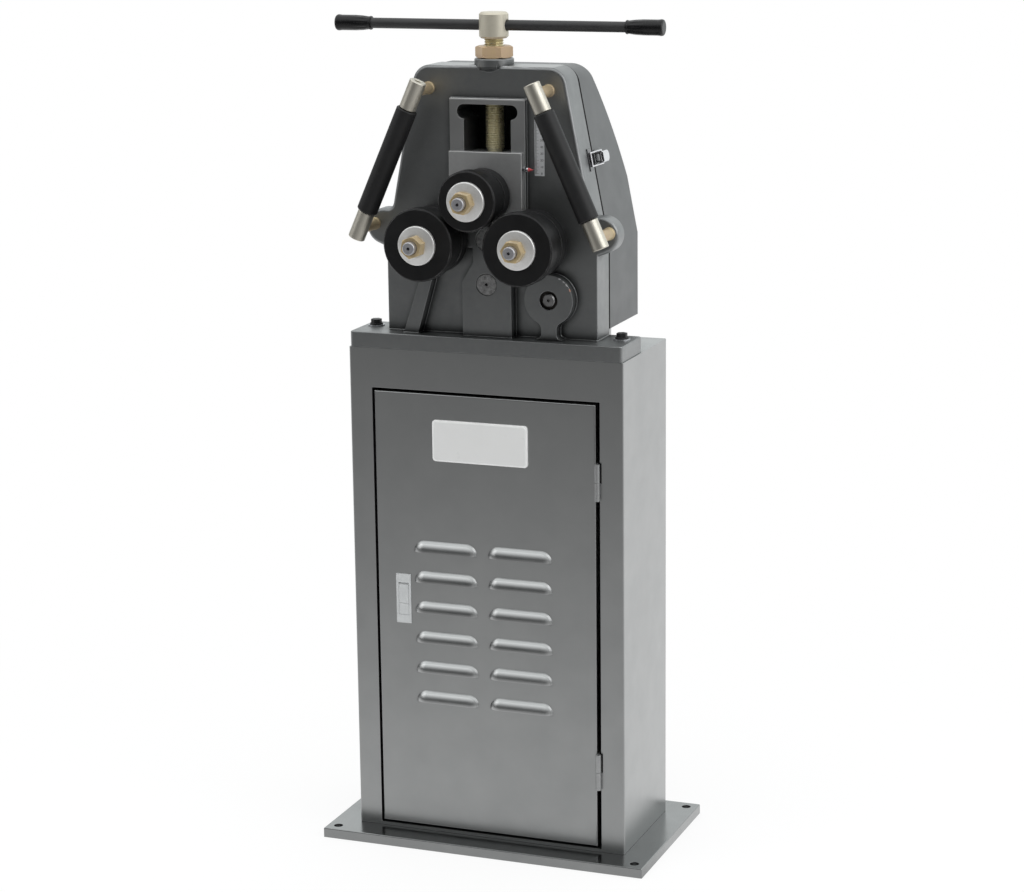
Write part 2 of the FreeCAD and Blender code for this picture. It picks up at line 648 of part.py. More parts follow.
def hinge_halves():
    """Frame halves with their pins, and door halves, of both hinges."""
    r = HINGE_D / 2
    pin_r = HINGE_PIN_D / 2
    frame = []
    door = []
    leaf_back = CAB_FRONT + FRAME_FOLD - CAB_SHEET
    for z in HINGE_ZS:
        low = z - HINGE_H / 2
        high = z + HINGE_H / 2
        knuckle = rod_z(HINGE_X, HINGE_Y, low, z, r)
        face = OPEN_HALF_W
        leaf = box(face - HINGE_LEAF_T, face, HINGE_Y, leaf_back, low, z)
        pin = rod_z(HINGE_X, HINGE_Y, low, high, pin_r)
        frame.append(knuckle.fuse(leaf).fuse(pin).removeSplitter())
        knuckle = rod_z(HINGE_X, HINGE_Y, z + SLIDE_FIT, high, r)
        face = DOOR_X1
        leaf = box(face, face + HINGE_LEAF_T, HINGE_Y, DOOR_FACE + DOOR_DEPTH, z + SLIDE_FIT, high)
        bore = rod_z(HINGE_X, HINGE_Y, z - 1, high + 1, pin_r + RUN_FIT)
        door.append(knuckle.fuse(leaf).cut(bore).removeSplitter())
    return Part.makeCompound(frame), Part.makeCompound(door)


# --------------------------------------------------------------------------
# Door latch
# --------------------------------------------------------------------------
LATCH_POCKET_TOP = LATCH_CZ - LATCH_DROP + LATCH_POCKET_H / 2
LATCH_POCKET_LOW = LATCH_POCKET_TOP - LATCH_POCKET_H
LATCH_PIVOT_Z = LATCH_POCKET_TOP - LATCH_LEVER_T / 2 - 1.0
LATCH_PIVOT_Y = DOOR_FACE + LATCH_LEVER_T / 2


def latch_housing():
    plate = box(LATCH_CX - LATCH_W / 2, LATCH_CX + LATCH_W / 2, DOOR_FACE - LATCH_T, DOOR_FACE,
                LATCH_CZ - LATCH_H / 2, LATCH_CZ + LATCH_H / 2)
    wide = LATCH_POCKET_W / 2 + LATCH_CUP_WALL
    cup = box(LATCH_CX - wide, LATCH_CX + wide, DOOR_FACE - LATCH_T, DOOR_FACE + LATCH_CUP_D,
              LATCH_POCKET_LOW - LATCH_CUP_WALL, LATCH_POCKET_TOP + LATCH_CUP_WALL)
    pocket = box(LATCH_CX - LATCH_POCKET_W / 2, LATCH_CX + LATCH_POCKET_W / 2,
                 DOOR_FACE - LATCH_T - 1, DOOR_FACE + LATCH_CUP_D + 1,
                 LATCH_POCKET_LOW, LATCH_POCKET_TOP)
    housing = plate.fuse(cup).cut(pocket)
    pin = rod_x(LATCH_CX - wide, LATCH_CX + wide, LATCH_PIVOT_Y, LATCH_PIVOT_Z, LATCH_PIVOT_D / 2)
    back = LATCH_POCKET_TOP - LATCH_LEVER_H - LATCH_CUP_WALL
    rest = box(LATCH_CX - wide, LATCH_CX + wide, DOOR_FACE + LATCH_CUP_D - LATCH_CUP_WALL,
               DOOR_FACE + LATCH_CUP_D, LATCH_POCKET_LOW, back)
    return housing.fuse(pin).fuse(rest).removeSplitter()


def latch_lever():
    half = LATCH_POCKET_W / 2 - SLIDE_FIT
    front = DOOR_FACE - LATCH_T
    low = LATCH_POCKET_TOP - LATCH_LEVER_H
    pad = box(LATCH_CX - half, LATCH_CX + half, front, front + LATCH_LEVER_T, low, LATCH_PIVOT_Z)
    head = rod_x(LATCH_CX - half, LATCH_CX + half, LATCH_PIVOT_Y, LATCH_PIVOT_Z, LATCH_LEVER_T / 2 + 0.5)
    leg_back = DOOR_FACE + LATCH_CUP_D + LATCH_LEVER_T
    leg = box(LATCH_CX - half, LATCH_CX - half + LATCH_LEVER_T, front, leg_back,
              LATCH_PIVOT_Z - 3 * LATCH_LEVER_T, LATCH_PIVOT_Z - LATCH_LEVER_T)
    lever = pad.fuse(head).fuse(leg)
    bore = rod_x(LATCH_CX - half - 1, LATCH_CX + half + 1, LATCH_PIVOT_Y, LATCH_PIVOT_Z,
                 LATCH_PIVOT_D / 2 + RUN_FIT)
    return lever.cut(bore).removeSplitter()


def latch_button():
    half = LATCH_POCKET_W / 2 - SLIDE_FIT
    top = LATCH_POCKET_TOP - LATCH_LEVER_H - SLIDE_FIT
    front = DOOR_FACE - LATCH_T
    cap = box(LATCH_CX - half, LATCH_CX + half, front, front + LATCH_LEVER_T,
              LATCH_POCKET_LOW + SLIDE_FIT, top)
    stem_z = (LATCH_POCKET_LOW + top) / 2
    reach = DOOR_FACE + LATCH_CUP_D - LATCH_CUP_WALL - LATCH_PRESS - SLIDE_FIT
    return cap.fuse(rod_y(LATCH_CX, stem_z, front + 1, reach, LATCH_LEVER_T)).removeSplitter()


# --------------------------------------------------------------------------
# Head casting
# --------------------------------------------------------------------------
def head_outline(low, top, inset, y0, y1):
    """Upright solid with the casting's tapering outline, drawn in by the inset."""
    half = HEAD_W / 2 - inset
    slope = math.hypot(1, HEAD_TAPER)
    start = FOOT_Z + HEAD_TAPER_H - inset * (slope - 1) / HEAD_TAPER
    upper = half - HEAD_TAPER * (top - start)
    points = [(-half, low), (half, low), (half, start), (upper, top), (-upper, top), (-half, start)]
    corner = HEAD_TOP_R - inset
    return plate_xz(points, [0, 0, 0, corner, corner, 0], y0, y1)


def raised(points, radii):
    """Web that stands from inside the casting to the boss face."""
    return plate_xz(points, radii, BOSS_Y, FACE_Y + 1)


def ear_blend(side):
    """Hollow corner above an ear, tangent to the ear and to the leaning side."""
    slope = math.hypot(1, HEAD_TAPER)
    out = V(1 / slope, HEAD_TAPER / slope, 0)
    up = V(-HEAD_TAPER / slope, 1 / slope, 0)
    ear = V(EAR_X, EAR_Z, 0)
    off = (ear - V(HEAD_W / 2, FOOT_Z + HEAD_TAPER_H, 0)).dot(out)
    rise = math.sqrt((EAR_R + EAR_BLEND_R) ** 2 - (EAR_BLEND_R - off) ** 2)
    centre = ear + out * (EAR_BLEND_R - off) + up * rise
    touch = centre - out * EAR_BLEND_R
    foot = ear - out * (off + 1)
    corners = [ear, centre, touch - out, foot]
    blend = plate_xz([(side * p.x, p.y) for p in corners], [0] * 4, FACE_Y, FACE_Y + EAR_T)
    return blend.cut(rod_y(side * centre.x, centre.y, FACE_Y - 1, FACE_Y + EAR_T + 1, EAR_BLEND_R))


def main_casting():
    top = HEAD_TOP
    body = head_outline(FOOT_Z - 1, top, 0, FACE_Y, REAR_Y)
    ear_z = FOOT_Z + GUIDE_LOW_H
    gusset_z = FOOT_Z + EAR_GUSSET_H
    ear_y = FACE_Y + EAR_T
    for side in (-1, 1):
        tx, tz = tangent_point(HEAD_W / 2, gusset_z, EAR_X, EAR_Z, EAR_R)
        gusset = [(side * HEAD_W / 2, gusset_z), (side * tx, tz), (side * EAR_X, EAR_Z),
                  (side * (HEAD_W / 2 - EAR_R), EAR_Z)]
        body = body.fuse(plate_xz(gusset, [0] * 4, FACE_Y, ear_y))
        body = body.fuse(rod_y(side * EAR_X, EAR_Z, FACE_Y, ear_y, EAR_R))
        body = body.fuse(ear_blend(side))
    body = body.removeSplitter()
    foot = gusset_z + 1e-3
    body = fillet_where(body, HEAD_EDGE_R, lambda p: abs(p.y - FACE_Y) < 1e-6 and p.z > gusset_z - 1e-3)
    body = fillet_where(body, HEAD_FOOT_EDGE_R, lambda p: abs(p.y - FACE_Y) < 1e-6 and p.z < foot
                        and abs(abs(p.x) - HEAD_W / 2) < 1e-3)

    y0 = CAB_FRONT
    flange = [(-FLANGE_W / 2, y0), (FLANGE_W / 2, y0), (FLANGE_W / 2, y0 + FLANGE_D),
              (-FLANGE_W / 2, y0 + FLANGE_D)]
    body = body.fuse(plate_xy(flange, [FLANGE_CORNER_R] * 4, CAB_TOP, FOOT_Z))

    low = FOOT_Z - 1
    neck = IDLER_BOSS_R
    step = FOOT_Z + WEB_STEP_H
    narrow = FOOT_Z + WEB_NECK_H
    web = [(-WEB_HALF_W, low), (WEB_HALF_W, low), (WEB_HALF_W, step), (neck, narrow),
           (neck, ROLL_Z), (-neck, ROLL_Z), (-neck, narrow), (-WEB_HALF_W, step)]
    radii = [0, 0, WEB_SHOULDER_R, WEB_NECK_R, 0, 0, WEB_NECK_R, WEB_SHOULDER_R]
    body = body.fuse(raised(web, radii))
    body = body.fuse(rod_y(0, ROLL_Z, BOSS_Y, FACE_Y + 1, IDLER_BOSS_R))
    cross = CROSS_WEB_H / 2
    bar = [(-ROLL_X, ROLL_Z - cross), (ROLL_X, ROLL_Z - cross), (ROLL_X, ROLL_Z + cross),
           (-ROLL_X, ROLL_Z + cross)]
    body = body.fuse(raised(bar, [0] * 4))
    for side in (-1, 1):
        body = body.fuse(rod_y(side * ROLL_X, ROLL_Z, BOSS_Y, FACE_Y + 1, ROLL_BOSS_R))
    foot = RIB_FOOT_W / 2
    head = RIB_TOP_W / 2
    rib = [(RIB_FOOT_X - foot, low), (RIB_FOOT_X + foot, low), (-ROLL_X + head, ROLL_Z),
           (-ROLL_X - head, ROLL_Z)]
    body = body.fuse(raised(rib, [0] * 4))
    neck = PINION_NECK_W / 2
    flare = PINION_NECK_W / 2 + PINION_FLARE_R
    foot_top = FOOT_Z + 2
    stem = [(PINION_X - flare, low), (PINION_X + flare, low), (PINION_X + flare, foot_top),
            (PINION_X + neck, foot_top), (PINION_X + neck, PINION_Z), (PINION_X - neck, PINION_Z),
            (PINION_X - neck, foot_top), (PINION_X - flare, foot_top)]
    stem = raised(stem, [0, 0, 0, PINION_FLARE_R - 1, 0, 0, PINION_FLARE_R - 1, 0])
    stem = stem.fuse(rod_y(PINION_X, PINION_Z, BOSS_Y, FACE_Y + 1, PINION_BOSS_R)).removeSplitter()
    join_z = PINION_Z - math.sqrt(PINION_BOSS_R ** 2 - neck ** 2)
    stem = fillet_where(stem, PINION_NECK_R, lambda p: abs(p.z - join_z) < 1e-3)
    body = body.fuse(stem)
    z = HEAD_TOP - TOP_BOSS_SKIRT
    root_r = TOP_BOSS_R - TOP_BOSS_TAPER
    profile = [(0, z - TOP_BOSS_TAPER), (root_r, z - TOP_BOSS_TAPER), (TOP_BOSS_R, z),
               (TOP_BOSS_R, BOSS_TOP - TOP_BOSS_EDGE), (TOP_BOSS_R - TOP_BOSS_EDGE, BOSS_TOP),
               (0, BOSS_TOP)]
    body = body.fuse(turned_up(profile, 0, SCREW_Y))

    rails = [(-RAIL_HALF_W, ROLL_Z), (RAIL_HALF_W, ROLL_Z), (RAIL_HALF_W, SLOT_Z1 + RAIL_HEAD),
             (-RAIL_HALF_W, SLOT_Z1 + RAIL_HEAD)]
    body = body.fuse(plate_xz(rails, [0] * 4, RAIL_Y, FACE_Y + 1))
    front = BOSS_Y - 1
    back = REAR_Y + 10
    slot = [(-SLOT_HALF_W, SLOT_Z0), (SLOT_HALF_W, SLOT_Z0), (SLOT_HALF_W, SLOT_Z1),
            (-SLOT_HALF_W, SLOT_Z1)]
    body = body.cut(plate_xz(slot, [SLOT_CORNER_R] * 4, front, back))
    for side in (-1, 1):
        body = body.cut(rod_y(side * SLOT_HALF_W, SLOT_Z1 - SLOT_EAR_R, front, back, SLOT_EAR_R))
        body = body.cut(rod_y(side * ROLL_X, ROLL_Z, front, back, BUSH_R))
        x = side * GUIDE_LOW_X
        body = body.cut(rod_y(x, ear_z, FACE_Y - 1, FACE_Y + STUD_ROOT, STUD_D / 2))
        x = side * GUIDE_HIGH_X
        body = body.cut(rod_y(x, FOOT_Z + GUIDE_HIGH_H, FACE_Y - 1, FACE_Y + STUD_ROOT, STUD_D / 2))
        x = side * REST_PIN_X
        z = COVER_Z - REST_PIN_D / 2
        body = body.cut(rod_y(x, z, REAR_Y - REST_PIN_IN, REAR_Y + 1, REST_PIN_D / 2))
        x = side * HEAD_BOLT_X
        y = CAB_FRONT + HEAD_BOLT_Y
        body = body.cut(rod_z(x, y, CAB_TOP - 1, FOOT_Z + 1, HEAD_BOLT_D / 2 + BOLT_FIT))
    for z in (ROLL_Z, IDLER_2_Z):
        body = body.cut(rod_y(0, z, front, back, AXLE_D / 2))
        body = body.cut(rod_y(0, z, front, BOSS_Y + AXLE_HEAD_T, AXLE_HEAD_D / 2))
    body = body.cut(rod_y(PINION_X, PINION_Z, front, back, CRANK_BUSH_D / 2))
    body = body.cut(rod_z(0, SCREW_Y, SLOT_Z1 - 1, BOSS_TOP + 1, SCREW_D / 2 + RUN_FIT))
    return body.removeSplitter()


def head_bolts():
    bolts = []
    for side in (-1, 1):
        x = side * HEAD_BOLT_X
        y = CAB_FRONT + HEAD_BOLT_Y
        seat = FOOT_Z + HEAD_WASHER_T
        shank = rod_z(x, y, CAB_TOP - CAB_SHEET - WELD_NUT_H, seat + 1, HEAD_BOLT_D / 2)
        rim = rod_z(x, y, seat, seat + HEAD_BOLT_RIM_T, HEAD_BOLT_RIM_D / 2)
        flats = hexagon(HEAD_BOLT_AF, 0, lambda a, b: V(x + a, y + b, seat + HEAD_BOLT_RIM_T))
        head = Part.Face(flats).extrude(V(0, 0, HEAD_BOLT_HEAD - HEAD_BOLT_RIM_T))
        bolts.append(shank.fuse(rim).fuse(head).removeSplitter())
    return Part.makeCompound(bolts)


def head_washers():
    rings = []
    for side in (-1, 1):
        x = side * HEAD_BOLT_X
        y = CAB_FRONT + HEAD_BOLT_Y
        ring = rod_z(x, y, FOOT_Z, FOOT_Z + HEAD_WASHER_T, HEAD_WASHER_D / 2)
        bore = rod_z(x, y, FOOT_Z - 1, FOOT_Z + HEAD_WASHER_T + 1, HEAD_BOLT_D / 2 + BOLT_FIT)
        rings.append(ring.cut(bore))
    return Part.makeCompound(rings)


# --------------------------------------------------------------------------
# Gears
# --------------------------------------------------------------------------
def involute(angle):
    return math.tan(angle) - angle


def tooth_half_angle(teeth, radius):
    """Half the angle that a tooth takes at a radius, with the backlash off."""
    pitch_r = MODULE * teeth / 2
    base_r = pitch_r * math.cos(math.radians(PRESSURE))
    at_pitch = math.pi / (2 * teeth) - GEAR_BACKLASH / pitch_r
    lean = math.acos(min(1.0, base_r / max(radius, base_r)))
    return at_pitch + involute(math.radians(PRESSURE)) - involute(lean)


def gear(teeth, x, z, y0, y1, phase):
    """Spur gear whose first tooth points at the phase angle, in degrees from +X to +Z."""
    pitch_r = MODULE * teeth / 2
    root_r = pitch_r - 1.25 * MODULE
    tip_r = pitch_r + 0.95 * MODULE
    base_r = pitch_r * math.cos(math.radians(PRESSURE))
    radii = [root_r, max(base_r, root_r + 0.5), pitch_r, tip_r]
    points = []
    for tooth in range(teeth):
        middle = math.radians(phase) + 2 * math.pi * tooth / teeth
        flank = [(r, tooth_half_angle(teeth, r)) for r in radii]
        for r, half in flank:
            points.append(V(x + r * math.cos(middle - half), y0, z + r * math.sin(middle - half)))
        for r, half in reversed(flank):
            points.append(V(x + r * math.cos(middle + half), y0, z + r * math.sin(middle + half)))
    return Part.Face(Part.makePolygon(points + points[:1])).extrude(V(0, y1 - y0, 0))


def meshing_phase(phase, teeth, line, mate_teeth):
    """Phase of a mating gear whose space meets the tooth nearest to the line of centres."""
    pitch = 360.0 / teeth
    nearest = phase + round((line - phase) / pitch) * pitch
    off = nearest - line
    return line + 180 - off * teeth / mate_teeth + 180.0 / mate_teeth


ROLL_PHASE = 0.0
IDLER_PHASE = meshing_phase(ROLL_PHASE, ROLL_TOOTH_COUNT, 180.0, IDLER_TOOTH_COUNT)
LEFT_PHASE = meshing_phase(IDLER_PHASE, IDLER_TOOTH_COUNT, 180.0, ROLL_TOOTH_COUNT)
SMALL_PHASE = meshing_phase(IDLER_PHASE, IDLER_TOOTH_COUNT, 270.0, SMALL_TOOTH_COUNT)
PINION_PHASE = meshing_phase(SMALL_PHASE, LARGE_TOOTH_COUNT, PINION_TILT, PINION_TOOTH_COUNT)


def keyway(x, z, seat_r, y0, y1, spare):
    """Room for a key on top of a shaft seat."""
    half = KEY_W / 2 + spare
    return box(x - half, x + half, y0, y1, z + seat_r - KEY_H / 2 - spare, z + seat_r + KEY_H / 2 + spare)


def roll_gear(x, phase):
    """Gear with a hub towards the casting, bored and keyed for its shaft."""
    hub_r = GEAR_SEAT_D / 2 + GEAR_HUB_WALL
    wheel = gear(ROLL_TOOTH_COUNT, x, ROLL_Z, PLANE_A, PLANE_A + GEAR_FACE, phase)
    wheel = wheel.fuse(rod_y(x, ROLL_Z, REAR_Y + SLIDE_FIT, PLANE_A + 1, hub_r))
    wheel = wheel.cut(rod_y(x, ROLL_Z, REAR_Y - 1, PLANE_A + GEAR_FACE + 1, GEAR_SEAT_D / 2))
    slot = keyway(x, ROLL_Z, GEAR_SEAT_D / 2, PLANE_A, PLANE_A + GEAR_FACE, 0)
    return wheel.cut(slot).removeSplitter()


def roll_key(x):
    return keyway(x, ROLL_Z, GEAR_SEAT_D / 2, PLANE_A, PLANE_A + GEAR_FACE, 0)


def idler_gear_1():
    wheel = gear(IDLER_TOOTH_COUNT, 0, ROLL_Z, PLANE_A, PLANE_A + GEAR_FACE, IDLER_PHASE)
    return wheel.cut(rod_y(0, ROLL_Z, PLANE_A - 1, PLANE_A + GEAR_FACE + 1, AXLE_D / 2 + RUN_FIT))


def idler_gear_2():
    small = gear(SMALL_TOOTH_COUNT, 0, IDLER_2_Z, PLANE_A, PLANE_A + GEAR_FACE, SMALL_PHASE)
    hub = rod_y(0, IDLER_2_Z, PLANE_A + GEAR_FACE - 1, PLANE_B + 1, AXLE_D / 2 + GEAR_HUB_WALL)
    large = gear(LARGE_TOOTH_COUNT, 0, IDLER_2_Z, PLANE_B, PLANE_B + GEAR_FACE, SMALL_PHASE)
    bore = rod_y(0, IDLER_2_Z, PLANE_A - 1, PLANE_B + GEAR_FACE + 1, AXLE_D / 2 + RUN_FIT)
    return small.fuse(hub).fuse(large).cut(bore).removeSplitter()


def axle_ends():
    """Front face of each idler's retaining ring, by axle height."""
    return ((ROLL_Z, PLANE_A + GEAR_FACE + SLIDE_FIT), (IDLER_2_Z, PLANE_B + GEAR_FACE + SLIDE_FIT))


def idler_axles():
    """Headed axles, flush with the casting's bosses, with a shoulder before each idler."""
    axles = []
    head_r = AXLE_HEAD_D / 2
    shank_r = AXLE_D / 2
    groove_r = shank_r - CLIP_WALL / 2
    for z, ring_y in axle_ends():
        profile = [(0, BOSS_Y), (head_r - AXLE_HEAD_EDGE, BOSS_Y), (head_r, BOSS_Y + AXLE_HEAD_EDGE),
                   (head_r, BOSS_Y + AXLE_HEAD_T), (shank_r, BOSS_Y + AXLE_HEAD_T), (shank_r, REAR_Y),
                   (shank_r + CLIP_WALL, REAR_Y), (shank_r + CLIP_WALL, PLANE_A - SLIDE_FIT),
                   (shank_r, PLANE_A - SLIDE_FIT), (shank_r, ring_y), (groove_r, ring_y),
                   (groove_r, ring_y + CLIP_T), (shank_r, ring_y + CLIP_T),
                   (shank_r, ring_y + 2 * CLIP_T), (0, ring_y + 2 * CLIP_T)]
        axle = turned(profile, 0, z)
        axles.append(axle.cut(rod_y(0, z, BOSS_Y - 1, BOSS_Y + CENTRE_D, CENTRE_D / 2)))
    return Part.makeCompound(axles)


def axle_clips():
    """Open retaining rings in the axles' grooves."""
    rings = []
    groove_r = AXLE_D / 2 - CLIP_WALL / 2
    for z, y in axle_ends():
        ring = rod_y(0, z, y, y + CLIP_T, groove_r + CLIP_WALL)
        ring = ring.cut(rod_y(0, z, y - 1, y + CLIP_T + 1, groove_r))
        mouth = box(-groove_r / 2, groove_r / 2, y - 1, y + CLIP_T + 1, z - 2 * AXLE_D, z)
        rings.append(ring.cut(mouth))
    return Part.makeCompound(rings)


# --------------------------------------------------------------------------
# Roll stacks
# --------------------------------------------------------------------------
def shaft_bushes():
    """Bushes of the bottom rolls and the crank pinion."""
    bushes = []
    for side in (-1, 1):
        tube = rod_y(side * ROLL_X, ROLL_Z, BOSS_Y, REAR_Y, BUSH_R)
        bore = rod_y(side * ROLL_X, ROLL_Z, BOSS_Y - 1, REAR_Y + 1, SHAFT_D / 2 + RUN_FIT)
        bushes.append(tube.cut(bore))
    tube = rod_y(PINION_X, PINION_Z, BOSS_Y + CRANK_BUSH_SET, REAR_Y, CRANK_BUSH_D / 2)
    bore = rod_y(PINION_X, PINION_Z, BOSS_Y - 1, REAR_Y + 1, CRANK_SHAFT_D / 2 + RUN_FIT)
    bushes.append(tube.cut(bore))
    return Part.makeCompound(bushes)


def nose_profile(shoulder_back):
    """Front of a roll shaft: centre, threaded nose, roll seat and shoulder."""
    nose_r = SHAFT_NOSE_D / 2
    tip = ROLL_FRONT - SHAFT_NOSE_OUT
    return [(0, tip), (nose_r - 1.5, tip), (nose_r, tip + 1.5), (nose_r, ROLL_FRONT + 2),
            (SHAFT_D / 2, ROLL_FRONT + 2), (SHAFT_D / 2, ROLL_REAR),
            (SHAFT_SHOULDER_D / 2, ROLL_REAR), (SHAFT_SHOULDER_D / 2, shoulder_back),
            (SHAFT_D / 2, shoulder_back)]


def bottom_shaft(x):
    gear_back = PLANE_A + GEAR_FACE
    profile = nose_profile(BOSS_Y - SLIDE_FIT)
    profile += [(SHAFT_D / 2, REAR_Y), (GEAR_SEAT_D / 2, REAR_Y), (GEAR_SEAT_D / 2, gear_back),
                (GEAR_SEAT_D / 2 - 1, gear_back + 1), (0, gear_back + 1)]
    shaft = turned(profile, x, ROLL_Z)
    shaft = shaft.cut(keyway(x, ROLL_Z, GEAR_SEAT_D / 2, PLANE_A, gear_back, 0))
    tip = ROLL_FRONT - SHAFT_NOSE_OUT
    return shaft.cut(rod_y(x, ROLL_Z, tip - 1, tip + CENTRE_D, CENTRE_D / 2))


def top_shaft():
    end = KEEPER_Y + SLIDE_KEEPER_T + SLIDE_FIT + COLLAR_T
    profile = nose_profile(SLIDE_FRONT - SLIDE_FIT)
    profile += [(SHAFT_D / 2, end), (0, end)]
    tip = ROLL_FRONT - SHAFT_NOSE_OUT
    return turned(profile, 0, TOP_Z).cut(rod_y(0, TOP_Z, tip - 1, tip + CENTRE_D, CENTRE_D / 2))


def roll(x, z, diameter, step):
    """Stack of a front disc and two smaller ones with grooves between them."""
    big = diameter / 2
    small = big - step
    groove = small - ROLL_GROOVE_DEEP
    bore = SHAFT_D / 2
    e = ROLL_EDGE
    y0 = ROLL_FRONT
    y1 = y0 + ROLL_DISC_L
    y2 = y1 + ROLL_GROOVE_W
    disc = (ROLL_REAR - y2 - ROLL_GROOVE_W) / 2
    y3 = y2 + disc
    y4 = y3 + ROLL_GROOVE_W
    profile = [(bore, y0), (big - e, y0), (big, y0 + e), (big, y1 - e), (big - e, y1), (groove, y1),
               (groove, y2), (small, y2), (small, y3), (groove, y3), (groove, y4), (small, y4),
               (small, ROLL_REAR - e), (small - e, ROLL_REAR), (bore, ROLL_REAR)]
    return turned(profile, x, z)


def cap_washer(x, z):
    r = WASHER_D / 2
    front = ROLL_FRONT - WASHER_T
    bore = SHAFT_NOSE_D / 2
    profile = [(bore, front), (r - 1.5, front), (r, front + 1.5), (r, ROLL_FRONT), (bore, ROLL_FRONT)]
    return turned(profile, x, z)


def roll_nut(x, z, turn):
    back = ROLL_FRONT - WASHER_T
    return hex_nut_y(x, z, back - NUT_H, back, NUT_AF, SHAFT_NOSE_D / 2, turn)


def top_bush():
    tube = rod_y(0, TOP_Z, SLIDE_FRONT, KEEPER_Y, BUSH_R)
    return tube.cut(rod_y(0, TOP_Z, SLIDE_FRONT - 1, KEEPER_Y + 1, SHAFT_D / 2 + RUN_FIT))


def top_collar():
    y0 = KEEPER_Y + SLIDE_KEEPER_T + SLIDE_FIT
    y1 = y0 + COLLAR_T
    r = COLLAR_D / 2
    profile = [(SHAFT_D / 2, y0), (r - 1, y0), (r, y0 + 1), (r, y1 - 1), (r - 1, y1), (SHAFT_D / 2, y1)]
    return turned(profile, 0, TOP_Z)


# --------------------------------------------------------------------------
# Slide and lead screw
# --------------------------------------------------------------------------
PIN_X = SCREW_GROOVE_D / 2 + SLIDE_FIT / 2 + SCREW_PIN_D / 2
PIN_Z = SOCKET_LOW + SCREW_SOCKET / 2


def screw_pin(side, spare):
    x = side * PIN_X
    return rod_y(x, PIN_Z, KEEPER_Y - SCREW_PIN_L, KEEPER_Y, SCREW_PIN_D / 2 + spare)


def slide_block():
    w = SLIDE_HALF_W
    z0 = TOP_Z - SLIDE_PLATE_DOWN
    z1 = TOP_Z + SLIDE_PLATE_UP
    block = box(-w, w, SLIDE_FRONT, SLIDE_BACK, z0, z1)
    rim = [e for e in block.Edges if all(abs(v.Y - SLIDE_FRONT) < 1e-6 for v in e.Vertexes)]
    block = block.makeChamfer(0.8, rim)
    n = SLOT_HALF_W - SLIDE_FIT / 2
    neck = box(-n, n, SLIDE_BACK - 1, KEEPER_Y, TOP_Z - SLIDE_NECK_DOWN, NECK_TOP)
    block = block.fuse(neck)
    block = block.cut(rod_y(0, TOP_Z, SLIDE_FRONT - 1, KEEPER_Y + 1, BUSH_R))
    block = block.cut(rod_z(0, SCREW_Y, SOCKET_LOW - RUN_FIT, NECK_TOP + 1, SCREW_JOURNAL_D / 2 + RUN_FIT))
    for side in (-1, 1):
        block = block.cut(screw_pin(side, 0))
    for x, z in keeper_screw_places():
        block = block.cut(rod_y(x, z, KEEPER_Y - 2 * KEEPER_SCREW_D, KEEPER_Y + 1, KEEPER_SCREW_D / 2))
    x0 = w - 2 * POINTER_D
    block = block.cut(rod_x(x0, w + 1, POINTER_Y, TOP_Z + POINTER_RISE, POINTER_D / 2))
    return block.removeSplitter()


POINTER_Y = (SLIDE_FRONT + SLIDE_BACK) / 2


def keeper_screw_places():
    low = TOP_Z - SLIDE_KEEPER_DOWN + KEEPER_SCREW_Z / 2
    high = TOP_Z + SLIDE_KEEPER_UP - KEEPER_SCREW_Z / 2
    return [(side * KEEPER_SCREW_X, z) for z in (low, high) for side in (-1, 1)]


def slide_keeper():
    w = SLIDE_KEEPER_HALF_W
    y1 = KEEPER_Y + SLIDE_KEEPER_T
    z0 = TOP_Z - SLIDE_KEEPER_DOWN
    z1 = TOP_Z + SLIDE_KEEPER_UP
    points = [(-w, z0), (w, z0), (w, z1), (-w, z1)]
    plate = plate_xz(points, [4.0] * 4, KEEPER_Y, y1)
    plate = plate.cut(rod_y(0, TOP_Z, KEEPER_Y - 1, y1 + 1, SHAFT_D / 2 + BOLT_FIT))
    for x, z in keeper_screw_places():
        plate = plate.cut(rod_y(x, z, KEEPER_Y - 1, y1 + 1, KEEPER_SCREW_D / 2))
    return plate


def keeper_screws():
    """Socket-head screws that hold the keeper against the block's neck."""
    screws = []
    y1 = KEEPER_Y + SLIDE_KEEPER_T
    for x, z in keeper_screw_places():
        shank = rod_y(x, z, KEEPER_Y - 2 * KEEPER_SCREW_D, y1, KEEPER_SCREW_D / 2)
        head = rod_y(x, z, y1, y1 + KEEPER_SCREW_D / 2, KEEPER_SCREW_D * 0.8)
        screws.append(shank.fuse(head).removeSplitter())
    return Part.makeCompound(screws)


def screw_retaining_pins():
    return Part.makeCompound([screw_pin(-1, 0), screw_pin(1, 0)])


def lead_screw():
    """Screw with a grooved journal at its foot."""
    r = SCREW_D / 2
    j = SCREW_JOURNAL_D / 2
    g = SCREW_GROOVE_D / 2
    half = SCREW_PIN_D / 2 + SLIDE_FIT / 2
    foot = NECK_TOP + 1.5
    top = BAR_Z - BAR_D / 2 - 2.0
    profile = [(0, SOCKET_LOW + SLIDE_FIT), (j - 1, SOCKET_LOW + SLIDE_FIT), (j, SOCKET_LOW + SLIDE_FIT + 1),
               (j, PIN_Z - half), (g, PIN_Z - half), (g, PIN_Z + half), (j, PIN_Z + half),
               (j, foot), (r, foot + r - j), (r, top - 1), (r - 1, top), (0, top)]
    return turned_up(profile, 0, SCREW_Y)


